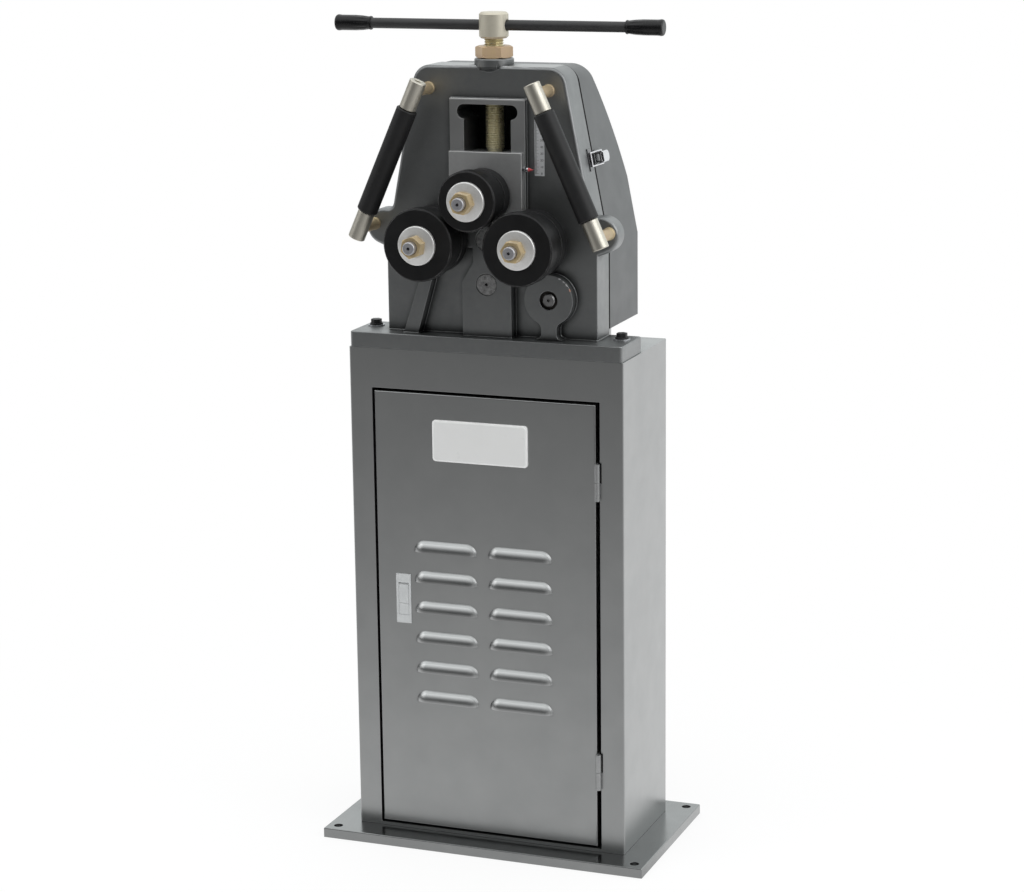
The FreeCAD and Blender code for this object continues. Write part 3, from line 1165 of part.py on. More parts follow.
def screw_hub():
    """Turned hub, pressed on the screw, with the cross hole of the T-bar."""
    r = HUB_D / 2
    e = HUB_EDGE
    z1 = HUB_Z + HUB_H
    profile = [(0, HUB_Z), (r - e, HUB_Z), (r, HUB_Z + e), (r, z1 - e), (r - e, z1), (0, z1)]
    hub = turned_up(profile, 0, SCREW_Y)
    hub = hub.cut(rod_z(0, SCREW_Y, HUB_Z - 1, BAR_Z - BAR_D / 2 - 2.0, SCREW_D / 2))
    b = BAR_D / 2 + RUN_FIT
    m = HUB_BAR_MOUTH
    mouth = [(0, -r - 1), (b + m + 1, -r - 1), (b, -r + m), (b, r - m), (b + m + 1, r + 1), (0, r + 1)]
    return hub.cut(turned_along(mouth, SCREW_Y, BAR_Z))


def lock_nut():
    """Large thin nut on the boss, chamfered on both faces."""
    z0 = BOSS_TOP + SLIDE_FIT
    z1 = z0 + LOCK_NUT_H
    flats = hexagon(LOCK_NUT_AF, LOCK_NUT_TURN - 90, lambda a, b: V(a, SCREW_Y + b, z0))
    body = Part.Face(flats).extrude(V(0, 0, LOCK_NUT_H))
    half = LOCK_NUT_AF / 2
    corner = half / math.cos(math.radians(30))
    lip = (corner - half) * 0.6
    profile = [(0, z0), (half, z0), (corner, z0 + lip), (corner, z1 - lip), (half, z1), (0, z1)]
    body = body.common(turned_up(profile, 0, SCREW_Y))
    return body.cut(rod_z(0, SCREW_Y, z0 - 1, z1 + 1, SCREW_D / 2 + RUN_FIT))


def t_bar():
    x0 = BAR_SHIFT - BAR_L / 2 + GRIP_END_T
    x1 = BAR_SHIFT + BAR_L / 2 - GRIP_END_T
    return rod_x(x0, x1, SCREW_Y, BAR_Z, BAR_D / 2)


def bar_grips():
    """Closed rubber grips that widen from a thin lip to the outer end."""
    grips = []
    r = GRIP_D / 2
    b = BAR_D / 2
    for side in (-1, 1):
        end = BAR_SHIFT + side * BAR_L / 2
        inner = end - side * GRIP_L
        bar_end = end - side * GRIP_END_T
        lip = inner + side * GRIP_LIP_L
        profile = [(b, inner), (GRIP_LIP_D / 2, inner), (GRIP_LIP_D / 2, lip), (GRIP_NECK_D / 2, lip),
                   (GRIP_NECK_D / 2 + 1.4, lip + side * GRIP_TAPER_L / 2), (r, lip + side * GRIP_TAPER_L),
                   (r, end - side * 6.0), (r + GRIP_FLARE, end - side * 3.0), (r - 0.2, end - side * 0.8),
                   (r - 2.0, end), (0, end), (0, bar_end), (b, bar_end)]
        grips.append(turned_along(profile, SCREW_Y, BAR_Z))
    return Part.makeCompound(grips)


def depth_scale():
    z0 = TOP_Z + SCALE_LOW
    return box(SCALE_X, SCALE_X + SCALE_W, FACE_Y - SCALE_T, FACE_Y, z0, z0 + SCALE_H)


def depth_pointer():
    """Screw with a lock nut and a cone tip, in the slide plate's right edge."""
    w = SLIDE_HALF_W
    z = TOP_Z + POINTER_RISE
    tip = w + POINTER_L
    stem = rod_x(w - 2 * POINTER_D, tip - POINTER_CONE_L + 1, POINTER_Y, z, POINTER_D / 2)
    root = V(tip - POINTER_CONE_L, POINTER_Y, z)
    cone = Part.makeCone(POINTER_CONE_D / 2, 0.3, POINTER_CONE_L, root, V(1, 0, 0))
    collar_x = tip - POINTER_CONE_L - POINTER_COLLAR_T
    collar = rod_x(collar_x, tip - POINTER_CONE_L, POINTER_Y, z, POINTER_COLLAR_D / 2)
    flats = hexagon(POINTER_NUT_AF, 0, lambda a, b: V(w, POINTER_Y + a, z + b))
    nut = Part.Face(flats).extrude(V(POINTER_NUT_T, 0, 0))
    return stem.fuse(collar).fuse(cone).fuse(nut).removeSplitter()


# --------------------------------------------------------------------------
# Side guides
# --------------------------------------------------------------------------
def guide_frame(side):
    """Foot, unit direction and length of one guide's axis, from the upper end down."""
    high = V(side * GUIDE_HIGH_X, GUIDE_Y, FOOT_Z + GUIDE_HIGH_H)
    low = V(side * GUIDE_LOW_X, GUIDE_Y, FOOT_Z + GUIDE_LOW_H)
    along = low - high
    length = along.Length + 2 * GUIDE_END
    along.normalize()
    return high - along * GUIDE_END, along, length


def guide_studs():
    studs = []
    r = STUD_D / 2
    tip = GUIDE_Y - STUD_PAST
    for side in (-1, 1):
        for x, h in ((GUIDE_LOW_X, GUIDE_LOW_H), (GUIDE_HIGH_X, GUIDE_HIGH_H)):
            profile = [(0, tip), (r - 1, tip), (r, tip + 1), (r, FACE_Y + STUD_ROOT), (0, FACE_Y + STUD_ROOT)]
            studs.append(turned(profile, side * x, FOOT_Z + h))
    return Part.makeCompound(studs)


def guide_bar(side):
    """Two bored end blocks joined by the rod that carries the sleeve."""
    start, along, length = guide_frame(side)
    r = GUIDE_BLOCK_D / 2
    e = GUIDE_EDGE
    block = GUIDE_BLOCK_L
    rod = GUIDE_ROD_D / 2
    profile = [(0, 0), (r - e, 0), (r, e), (r, block - e), (r - e, block), (rod, block),
               (rod, length - block), (r - e, length - block), (r, length - block + e),
               (r, length - e), (r - e, length), (0, length)]
    wire = Part.makePolygon([V(a, 0, b) for a, b in profile + profile[:1]])
    body = Part.Face(wire).revolve(V(0, 0, 0), Z_AXIS, 360)
    body = body.cut(rod_z(0, 0, -1, GUIDE_END, GRUB_D / 2))
    body = body.cut(rod_z(0, 0, length - GUIDE_END, length + 1, GRUB_D / 2))
    body.Placement = FreeCAD.Placement(start, FreeCAD.Rotation(Z_AXIS, along))
    depth = GUIDE_Y - STUD_PAST - SLIDE_FIT
    for x, h in ((GUIDE_LOW_X, GUIDE_LOW_H), (GUIDE_HIGH_X, GUIDE_HIGH_H)):
        bore = rod_y(side * x, FOOT_Z + h, depth, GUIDE_Y + GUIDE_BLOCK_D, STUD_D / 2 + RUN_FIT)
        body = body.cut(bore)
    return body


def sleeve(side):
    start, along, length = guide_frame(side)
    low = GUIDE_BLOCK_L + SLIDE_FIT
    high = length - GUIDE_BLOCK_L - SLIDE_FIT
    tube = rod_z(0, 0, low, high, SLEEVE_D / 2)
    tube = tube.cut(rod_z(0, 0, low - 1, high + 1, GUIDE_ROD_D / 2 + RUN_FIT))
    tube.Placement = FreeCAD.Placement(start, FreeCAD.Rotation(Z_AXIS, along))
    return tube


# --------------------------------------------------------------------------
# Gear cover and crank
# --------------------------------------------------------------------------
def cover_solid(inset, front):
    """Filled shape of the cover, drawn in by the inset."""
    body = head_outline(COVER_Z + inset, COVER_TOP - inset, inset, front, COVER_BACK + 1)
    back = COVER_BACK - inset
    slope_z = FOOT_Z + COVER_SLOPE_H - inset / 2
    top_y = COVER_Y + COVER_TOP_D - inset
    top_z = COVER_TOP - inset / 2
    mid_y = (back + top_y) / 2 + COVER_BULGE
    mid_z = (slope_z + top_z) / 2 + COVER_BULGE / 2
    low = COVER_Z - 10
    high = COVER_TOP + 10
    wide = HEAD_W / 2 + 10
    place = on_yz(-wide)
    curve = Part.Arc(place(back, slope_z), place(mid_y, mid_z), place(top_y, top_z)).toShape()
    corners = [(top_y, top_z), (top_y, high), (front - 1, high), (front - 1, low), (back, low),
               (back, slope_z)]
    lines = [Part.makeLine(place(*corners[i]), place(*corners[i + 1])) for i in range(5)]
    side = Part.Face(Part.Wire([curve] + lines)).extrude(V(2 * wide, 0, 0))
    return body.common(side)


def gear_cover():
    cover = cover_solid(0, COVER_Y)
    cover = cover.cut(cover_solid(COVER_SHEET, COVER_Y - 1))
    hole = rod_y(PINION_X, PINION_Z, COVER_BACK - 5, COVER_BACK + 5, CRANK_SHAFT_D / 2 + COVER_HOLE_FIT)
    return cover.cut(hole).removeSplitter()


def cover_rest_pins():
    pins = []
    z = COVER_Z - REST_PIN_D / 2
    for side in (-1, 1):
        pins.append(rod_y(side * REST_PIN_X, z, REAR_Y - REST_PIN_IN, REAR_Y + REST_PIN_OUT, REST_PIN_D / 2))
    return Part.makeCompound(pins)


def crank_shaft():
    """Pinion shaft: flush front end, thrust collar, pinion and a squared tail."""
    r = CRANK_SHAFT_D / 2
    collar = CRANK_COLLAR_D / 2
    tail = CRANK_Y + CRANK_HUB_L
    y0 = REAR_Y + SLIDE_FIT
    e = CRANK_SHAFT_EDGE
    profile = [(0, BOSS_Y), (r - e, BOSS_Y), (r, BOSS_Y + e), (r, y0), (collar, y0),
               (collar, y0 + 4), (r, y0 + 4), (r, tail), (0, tail)]
    shaft = turned(profile, PINION_X, PINION_Z)
    pinion = gear(PINION_TOOTH_COUNT, PINION_X, PINION_Z, PLANE_B, PLANE_B + GEAR_FACE, PINION_PHASE)
    shaft = shaft.fuse(pinion)
    shaft = shaft.cut(rod_y(PINION_X, PINION_Z, BOSS_Y - 1, BOSS_Y + CENTRE_D, CENTRE_D / 2))
    flat = r * 0.8
    for side in (-1, 1):
        x = PINION_X + side * (flat + r)
        shaft = shaft.cut(box(x - r, x + r, CRANK_Y, tail + 1, PINION_Z - 2 * r, PINION_Z + 2 * r))
    return shaft.removeSplitter()


CRANK_EYE_Z = PINION_Z - CRANK_L
CRANK_TAIL = CRANK_Y + CRANK_HUB_L


def crank_arm():
    """Hub, tapering arm and eye with the riveted spindle of the grip."""
    arm_y = CRANK_TAIL - CRANK_ARM_T
    hub = rod_y(PINION_X, PINION_Z, CRANK_Y, CRANK_TAIL, CRANK_HUB_D / 2)
    eye = rod_y(PINION_X, CRANK_EYE_Z, arm_y, CRANK_TAIL, CRANK_EYE_D / 2)
    wide = CRANK_ARM_W / 2
    thin = CRANK_EYE_D / 2
    points = [(PINION_X - wide, PINION_Z), (PINION_X - thin, CRANK_EYE_Z), (PINION_X + thin, CRANK_EYE_Z),
              (PINION_X + wide, PINION_Z)]
    arm = plate_xz(points, [0] * 4, arm_y, CRANK_TAIL)
    spindle = rod_y(PINION_X, CRANK_EYE_Z, CRANK_TAIL - 1, CRANK_TAIL + CRANK_GRIP_L + 1, CRANK_SPINDLE_D / 2)
    cap = rod_y(PINION_X, CRANK_EYE_Z, CRANK_TAIL + CRANK_GRIP_L + 1, CRANK_TAIL + CRANK_GRIP_L + 4,
                CRANK_SPINDLE_D * 0.8)
    crank = hub.fuse(eye).fuse(arm).fuse(spindle).fuse(cap)
    r = CRANK_SHAFT_D / 2
    bore = rod_y(PINION_X, PINION_Z, CRANK_Y - 1, CRANK_TAIL + 1, r)
    flat = r * 0.8
    bore = bore.common(box(PINION_X - flat, PINION_X + flat, CRANK_Y - 1, CRANK_TAIL + 1,
                           PINION_Z - 2 * r, PINION_Z + 2 * r))
    return crank.cut(bore).removeSplitter()


def crank_grip():
    """Turned handle that spins on the spindle."""
    y0 = CRANK_TAIL + SLIDE_FIT
    y1 = CRANK_TAIL + CRANK_GRIP_L
    r = CRANK_GRIP_D / 2
    bore = CRANK_SPINDLE_D / 2 + RUN_FIT
    third = (y1 - y0) / 3
    profile = [(bore, y0), (r * 0.75, y0), (r * 0.9, y0 + third), (r, y0 + 2 * third),
               (r * 0.92, y1 - 6), (r * 0.6, y1), (bore, y1)]
    return turned(profile, PINION_X, CRANK_EYE_Z)


# --------------------------------------------------------------------------
# Toggle latch of the gear cover, on the right side
# --------------------------------------------------------------------------
TOGGLE_Z = FOOT_Z + TOGGLE_H
TOGGLE_X = HEAD_W / 2 - HEAD_TAPER * (TOGGLE_H - HEAD_TAPER_H)
TOGGLE_LEAN = math.degrees(math.atan(HEAD_TAPER))
BASE_FRONT_Y = COVER_Y + TOGGLE_BASE_BACK
PIVOT_Y = BASE_FRONT_Y + TOGGLE_PIVOT_BACK
BAIL_Y = PIVOT_Y + TOGGLE_THROW
KEEPER_REAR = REAR_Y - TOGGLE_KEEPER_BACK


def on_side(shape):
    """Move a shape drawn at x = 0, z = 0 onto the leaning right side."""
    shape.Placement = FreeCAD.Placement(V(TOGGLE_X, 0, TOGGLE_Z), FreeCAD.Rotation(Y_AXIS, -TOGGLE_LEAN))
    return shape


def toggle_keeper():
    """Plate on the casting with an upstanding hook."""
    t = TOGGLE_PLATE_T
    half = TOGGLE_KEEPER_W / 2
    y0 = KEEPER_REAR - TOGGLE_KEEPER_L
    plate = box(0, t, y0, KEEPER_REAR, -half, half)
    hook = box(0, TOGGLE_HOOK_UP, KEEPER_REAR - TOGGLE_KEEPER_L / 2, KEEPER_REAR - TOGGLE_KEEPER_L / 2 + t,
               -half / 2, half / 2)
    return on_side(plate.fuse(hook).removeSplitter())


def toggle_base():
    """Plate on the cover with two ears and the lever's pivot pin."""
    t = TOGGLE_PLATE_T
    half = TOGGLE_BASE_W / 2
    y1 = BASE_FRONT_Y + TOGGLE_BASE_L
    base = box(0, t, BASE_FRONT_Y, y1, -half, half)
    r = TOGGLE_EAR_R
    up = TOGGLE_PIVOT_UP
    outer = TOGGLE_LEVER_W / 2 - TOGGLE_LEVER_T - SLIDE_FIT
    for side in (-1, 1):
        z0 = min(side * outer, side * (outer - TOGGLE_EAR_T))
        base = base.fuse(box(0, up, PIVOT_Y - r, PIVOT_Y + r, z0, z0 + TOGGLE_EAR_T))
        base = base.fuse(Part.makeCylinder(r, TOGGLE_EAR_T, V(up, PIVOT_Y, z0), Z_AXIS))
    reach = TOGGLE_LEVER_W / 2
    pin = Part.makeCylinder(TOGGLE_PIVOT_D / 2, 2 * reach, V(up, PIVOT_Y, -reach), Z_AXIS)
    return on_side(base.fuse(pin).removeSplitter())


def toggle_lever():
    """Channel lever with a round end, closed flat over its base."""
    t = TOGGLE_LEVER_T
    half = TOGGLE_LEVER_W / 2
    up = TOGGLE_PIVOT_UP
    top = up + TOGGLE_EAR_R + SLIDE_FIT + t
    y0 = PIVOT_Y - TOGGLE_PIVOT_D
    y1 = PIVOT_Y + TOGGLE_LEVER_L
    pad = box(top - t, top, PIVOT_Y + TOGGLE_EAR_R / 2, y1 - half, -half, half)
    pad = pad.fuse(Part.makeCylinder(half, t, V(top - t, y1 - half, 0), V(1, 0, 0)))
    for side in (-1, 1):
        z0 = min(side * half, side * (half - t))
        pad = pad.fuse(box(up - TOGGLE_PIVOT_D, top, y0, BAIL_Y + TOGGLE_PIVOT_D, z0, z0 + t))
    bore = Part.makeCylinder(TOGGLE_PIVOT_D / 2 + RUN_FIT, 4 * half, V(up, PIVOT_Y, -2 * half), Z_AXIS)
    pad = pad.cut(bore)
    bail = Part.makeCylinder(TOGGLE_BAIL_D / 2 + RUN_FIT, 4 * half, V(up, BAIL_Y, -2 * half), Z_AXIS)
    return on_side(pad.cut(bail).removeSplitter())


def toggle_bail():
    """Wire loop from the lever over the keeper's hook."""
    r = TOGGLE_BAIL_D / 2
    half = TOGGLE_LEVER_W / 2 + r + SLIDE_FIT
    up = TOGGLE_PIVOT_UP
    hook_y = KEEPER_REAR - TOGGLE_KEEPER_L / 2 - r - SLIDE_FIT
    drop = TOGGLE_PLATE_T + r + SLIDE_FIT
    wire = Part.makeCylinder(r, 2 * half, V(up, BAIL_Y, -half), Z_AXIS)
    wire = wire.fuse(Part.makeCylinder(r, 2 * half, V(drop, hook_y, -half), Z_AXIS))
    for side in (-1, 1):
        start = V(up, BAIL_Y, side * half)
        end = V(drop, hook_y, side * half)
        wire = wire.fuse(Part.makeCylinder(r, (end - start).Length, start, end - start))
        wire = wire.fuse(Part.makeSphere(r, start))
        wire = wire.fuse(Part.makeSphere(r, end))
    return on_side(wire.removeSplitter())


# --------------------------------------------------------------------------
# Nodes
# --------------------------------------------------------------------------
def build():
    """Every node's shape by name."""
    frame_hinges, door_hinges = hinge_halves()
    nodes = {
        "base_plate": base_plate(),
        "cabinet_shell": cabinet_shell(),
        "door_panel": door_panel(),
        "hinge_frame_halves": frame_hinges,
        "hinge_door_halves": door_hinges,
        "latch_housing": latch_housing(),
        "latch_lever": latch_lever(),
        "latch_button": latch_button(),
        "main_casting": main_casting(),
        "head_bolts": head_bolts(),
        "head_washers": head_washers(),
        "idler_axles": idler_axles(),
        "axle_clips": axle_clips(),
        "idler_gear_1": idler_gear_1(),
        "idler_gear_2": idler_gear_2(),
        "shaft_bushes": shaft_bushes(),
        "top_shaft": top_shaft(),
        "top_roll": roll(0, TOP_Z, TOP_ROLL_D, TOP_ROLL_STEP),
        "top_washer": cap_washer(0, TOP_Z),
        "top_nut": roll_nut(0, TOP_Z, 20.0),
        "top_bush": top_bush(),
        "top_collar": top_collar(),
        "slide_block": slide_block(),
        "slide_keeper": slide_keeper(),
        "keeper_screws": keeper_screws(),
        "screw_retaining_pins": screw_retaining_pins(),
        "lead_screw": lead_screw(),
        "screw_hub": screw_hub(),
        "lock_nut": lock_nut(),
        "t_bar": t_bar(),
        "bar_grips": bar_grips(),
        "depth_scale": depth_scale(),
        "depth_pointer": depth_pointer(),
        "guide_studs": guide_studs(),
        "gear_cover": gear_cover(),
        "cover_rest_pins": cover_rest_pins(),
        "crank_shaft": crank_shaft(),
        "crank_arm": crank_arm(),
        "crank_grip": crank_grip(),
        "toggle_keeper": toggle_keeper(),
        "toggle_base": toggle_base(),
        "toggle_lever": toggle_lever(),
        "toggle_bail": toggle_bail(),
    }
    sides = (("left", -1, LEFT_PHASE, 50.0), ("right", 1, ROLL_PHASE, 25.0))
    for name, side, phase, nut_turn in sides:
        x = side * ROLL_X
        nodes[name + "_shaft"] = bottom_shaft(x)
        nodes[name + "_roll"] = roll(x, ROLL_Z, ROLL_D, ROLL_STEP)
        nodes[name + "_washer"] = cap_washer(x, ROLL_Z)
        nodes[name + "_nut"] = roll_nut(x, ROLL_Z, nut_turn)
        nodes[name + "_key"] = roll_key(x)
        nodes[name + "_gear"] = roll_gear(x, phase)
        nodes[name + "_guide_bar"] = guide_bar(side)
        nodes[name + "_sleeve"] = sleeve(side)
    return nodes


def main():
    os.makedirs("parts", exist_ok=True)
    for name, shape in build().items():
        shape.exportStep("parts/" + name + ".step")
        print(name, len(shape.Solids), shape.isValid(), round(shape.Volume))


main()
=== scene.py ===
import json
import logging
import math
from dataclasses import dataclass, field, replace
from enum import Enum
from typing import Callable, Iterable, Mapping, Sequence

import bmesh
import bpy
from bmesh.types import BMesh
from bpy.types import Material, Mesh, Node, NodeSocket, NodeTree, Object
from mathutils import Matrix, Vector

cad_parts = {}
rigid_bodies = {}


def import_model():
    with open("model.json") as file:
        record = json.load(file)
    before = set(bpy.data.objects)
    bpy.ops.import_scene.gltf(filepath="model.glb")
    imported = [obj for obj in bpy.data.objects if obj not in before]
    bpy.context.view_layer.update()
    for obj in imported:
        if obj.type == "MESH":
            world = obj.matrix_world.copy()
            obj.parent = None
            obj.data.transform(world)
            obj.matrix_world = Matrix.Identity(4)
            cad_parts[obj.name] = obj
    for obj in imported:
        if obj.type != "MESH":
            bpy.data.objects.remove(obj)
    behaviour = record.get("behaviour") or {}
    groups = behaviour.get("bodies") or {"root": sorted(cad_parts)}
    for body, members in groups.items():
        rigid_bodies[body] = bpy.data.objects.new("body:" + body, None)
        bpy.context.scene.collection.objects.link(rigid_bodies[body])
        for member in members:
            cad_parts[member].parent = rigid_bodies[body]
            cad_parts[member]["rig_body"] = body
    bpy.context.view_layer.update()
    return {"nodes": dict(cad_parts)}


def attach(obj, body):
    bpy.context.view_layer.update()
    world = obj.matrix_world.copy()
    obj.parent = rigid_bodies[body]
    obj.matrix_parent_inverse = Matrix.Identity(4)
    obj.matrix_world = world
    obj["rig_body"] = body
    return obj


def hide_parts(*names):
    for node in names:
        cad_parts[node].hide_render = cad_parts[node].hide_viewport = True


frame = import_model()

# Looks of the ring roller on its cabinet stand.
# Sizes in this file are millimetres unless a name says otherwise; meshes are metres.

LOG = logging.getLogger("ring_roller")
MM = 0.001
ROUND = 96  # facets of a turned piece
SMOOTH_ANGLE = math.radians(32.0)
EDGE_ANGLE = math.radians(38.0)  # a real edge turns at least this much
FLAT_ANGLE = math.radians(0.6)  # faces that turn less are one flat
WELD = 4e-6  # metres within which corners are one
SOFT_STEPS = 3  # pieces of a softened corner
SOFT_SHARE = 0.45  # most that a softened corner takes of each side
PATCH_FADE = 0.2  # width over which a patch of colour ends
PLATE_CORNER_STEPS = 8
NUT_CONE = math.tan(math.radians(26.0))  # slope of a nut's turned-off corners
NUT_FACE = 0.4  # the face circle lies this far inside the flats
NUT_LEAD = (0.9, 1.3, 1.1)  # countersink of a nut's hole: at the back, then width and depth in front
NODE_STEP = (180.0, -60.0, 5)  # layout of a tree: across, down, and nodes in a row
MIX_COLOURS = (6, 7, 2)  # the Mix node's two colour inputs and its colour output

Pair = tuple[float, float]
Point = tuple[float, float, float]
Colour = Point
Flat = Sequence[Pair]
Sockets = Mapping[str, NodeSocket]
Share = Callable[[Vector, bool], float]

# Near black: painted shade in hollow corners and seams, and the dark edges of the idler discs.
SHADE_AND_EDGE_BLACK: Colour = (0.012, 0.012, 0.012)


# ---- Node tree helpers ----
class Wiring:
    """Places and wires nodes in one tree."""

    def __init__(self, tree: NodeTree) -> None:
        """Keep the tree and start the row of nodes at its left."""
        self.tree = tree
        self.count = 0

    def add(self, kind: str, *values: object, out: int | str = 0, **settings: object) -> object:
        """Place a node.

        Args:
            kind: the node's type name, without ShaderNode in front.
            values: for each input in order a socket, a value, or None to leave it.
            out: the output that is handed back, or "node" for the node itself.
            settings: properties of the node.

        Returns:
            The chosen output socket, or the node.
        """
        full = kind if kind.startswith(("GeometryNode", "NodeGroup")) else "ShaderNode" + kind
        node = self.tree.nodes.new(full)
        across, down, row = NODE_STEP
        node.location = (across * self.count, down * (self.count % row))
        self.count += 1
        for key, value in settings.items():
            setattr(node, key, value)
        for index, value in enumerate(values):
            self.put(node.inputs[index], value)
        return node if out == "node" else node.outputs[out]

    def put(self, socket: NodeSocket, value: object) -> None:
        """Link a socket to another, or give it a value.

        Args:
            socket: the input to set.
            value: a socket to link, or a plain value.
        """
        if isinstance(value, NodeSocket):
            self.tree.links.new(value, socket)
        elif value is not None:
            socket.default_value = value

    def math(self, operation: str, *values: object) -> NodeSocket:
        """Place a Math node and hand back its result."""
        return self.add("Math", *values, operation=operation)

    def mul(self, first: object, second: object) -> NodeSocket:
        """Product of two values."""
        return self.math("MULTIPLY", first, second)

    def span(self, value: object, low: float, high: float, to_low: float, to_high: float) -> NodeSocket:
        """Map a value from one range to another, clamped."""
        return self.add("MapRange", value, low, high, to_low, to_high)

    def mix(self, share: object, first: object, second: object) -> NodeSocket:
        """Mix two colours.

        Args:
            share: how much of the second colour shows.
            first: colour at a share of 0.
            second: colour at a share of 1.

        Returns:
            The mixed colour's socket.
        """
        node = self.add("Mix", share, out="node", data_type="RGBA")
        low, high, result = MIX_COLOURS
        self.put(node.inputs[low], rgba(first))
        self.put(node.inputs[high], rgba(second))
        return node.outputs[result]

    def fill(self, node: Node, **values: object) -> Sockets:
        """Link or set a node's inputs by name, with _ for a space.

        Args:
            node: the node to fill.
            values: a socket or a value for each named input.

        Returns:
            The node's outputs.
        """
        for label, value in values.items():
            self.put(node.inputs[label.replace("_", " ")], value)
        return node.outputs

    def group(self, name: str, **values: object) -> Sockets:
        """Place a shared group with its inputs filled, and hand back its outputs."""
        return self.fill(self.add("Group", out="node", node_tree=shared_group(name)), **values)


def rgba(value: object) -> object:
    """Give a plain colour its fourth number, and leave a socket alone."""
    return (*value, 1.0) if isinstance(value, tuple) and len(value) == 3 else value


def wire_grain(w: Wiring, given: Sockets) -> Sequence[NodeSocket]:
    """Fine grain, slow drift and a height, all from the piece's own place.

    Args:
        w: places the nodes.
        given: the group's inputs.

    Returns:
        The group's outputs in order.
    """
    place = w.add("TexCoord", out="Object")
    stretched = w.add("VectorMath", place, given["Stretch"], operation="MULTIPLY")
    fine = w.add("TexNoise", stretched, None, given["Grain Scale"], 5.0, 0.6)
    slow = w.add("TexNoise", place, None, given["Drift Scale"], 4.0, 0.62)
    cloud = w.add("TexNoise", place, None, w.mul(given["Drift Scale"], 7.0), 3.0, 0.6)
    drift = w.math("ADD", w.mul(slow, 0.65), w.mul(cloud, 0.35))
    return fine, w.span(drift, 0.32, 0.68, 0.0, 1.0), w.math("ADD", fine, w.mul(cloud, 0.3))


def wire_wear(w: Wiring, given: Sockets) -> Sequence[NodeSocket]:
    """Mask along rubbed edges, broken up by noise.

    Args:
        w: places the nodes.
        given: the group's inputs.

    Returns:
        The group's output.
    """
    rounded = w.add("Bevel", given["Radius"], samples=4)
    normal = w.add("NewGeometry", out="Normal")
    bend = w.add("VectorMath", rounded, normal, operation="DOT_PRODUCT", out="Value")
    edge = w.span(bend, 0.995, 0.90, 0.0, 1.0)
    place = w.add("TexCoord", out="Object")
    rub = w.add("TexNoise", place, None, given["Break Up"], 4.0, 0.7)
    return (w.mul(edge, w.span(rub, 0.40, 0.62, 0.0, 1.0)),)


def wire_dirt(w: Wiring, given: Sockets) -> Sequence[NodeSocket]:
    """Mask of painted shade in hollow corners, from how much of the surroundings the spot sees."""
    seen = w.add("AmbientOcclusion", None, given["Reach"], out="AO", samples=6, only_local=True)
    return (w.span(seen, 0.92, 0.5, 0.0, 1.0),)


def wire_turning(w: Wiring, given: Sockets) -> Sequence[NodeSocket]:
    """Fine rings left by the lathe, along the piece's own UV map.

    Args:
        w: places the nodes.
        given: the group's inputs.

    Returns:
        The group's output.
    """
    uv = w.add("UVMap", uv_map="turned")
    lines = w.add("VectorMath", uv, (0.35, 1.0, 0.0), operation="MULTIPLY")
    fine = w.add("TexNoise", lines, None, given["Rings"], 3.0, 0.7)
    coarse = w.add("TexNoise", lines, None, w.mul(given["Rings"], 0.21), 2.0, 0.5)
    return (w.math("ADD", w.mul(fine, 0.7), w.mul(coarse, 0.5)),)


# Shared shader groups: inputs with their defaults, outputs, and the function that wires them.
GROUPS = {
    "surface_grain": ({"Grain Scale": 900.0, "Stretch": (1.0, 1.0, 1.0), "Drift Scale": 5.0},
                      ("Grain", "Drift", "Height"), wire_grain),
    "edge_wear": ({"Radius": 0.002, "Break Up": 60.0}, ("Mask",), wire_wear),
    "corner_dirt": ({"Reach": 0.015}, ("Mask",), wire_dirt),
    "turning_marks": ({"Rings": 2600.0}, ("Height",), wire_turning),
}


def shared_group(name: str) -> NodeTree:
    """Build one of GROUPS once.

    Args:
        name: the group's name.

    Returns:
        The node group.
    """
    if name in bpy.data.node_groups:
        return bpy.data.node_groups[name]
    inputs, outputs, wire = GROUPS[name]
    tree = bpy.data.node_groups.new(name, "ShaderNodeTree")
    for label, default in inputs.items():
        kind = "NodeSocketVector" if isinstance(default, tuple) else "NodeSocketFloat"
        tree.interface.new_socket(label, in_out="INPUT", socket_type=kind).default_value = default
    for label in outputs:
        tree.interface.new_socket(label, in_out="OUTPUT", socket_type="NodeSocketFloat")
    w = Wiring(tree)
    made = wire(w, w.add("NodeGroupInput", out="node").outputs)
    w.add("NodeGroupOutput", *made, out="node")
    return tree


# ---- Finishes ----
class Marks(Enum):
    """Where a finish takes its fine relief from."""

    GRAIN = "grain"
    TURNED = "turned"


@dataclass(frozen=True)
class Patch:
    """Box, in the piece's own place, where a finish has another colour."""

    low: Point
    high: Point
    colour: Colour

    def mask(self, w: Wiring) -> NodeSocket:
        """Mask of the box.

        Args:
            w: places the nodes.

        Returns:
            The mask's socket: 1 inside the box, 0 away from it.
        """
        place = w.add("TexCoord", out="Object")
        spot = w.add("SeparateXYZ", place, out="node")
        mask = None
        for axis in range(3):
            middle = (self.low[axis] + self.high[axis]) / 2 * MM
            half = (self.high[axis] - self.low[axis]) / 2 * MM
            away = w.math("ABSOLUTE", w.math("SUBTRACT", spot.outputs[axis], middle))
            part = w.span(away, half, half + PATCH_FADE * MM, 1.0, 0.0)
            mask = part if mask is None else w.mul(mask, part)
        return mask


@dataclass(frozen=True)
class Wear:
    """Rubbed edges: their colour, how much of it shows, and the radius they are found by."""

    colour: Colour
    share: float
    radius: float


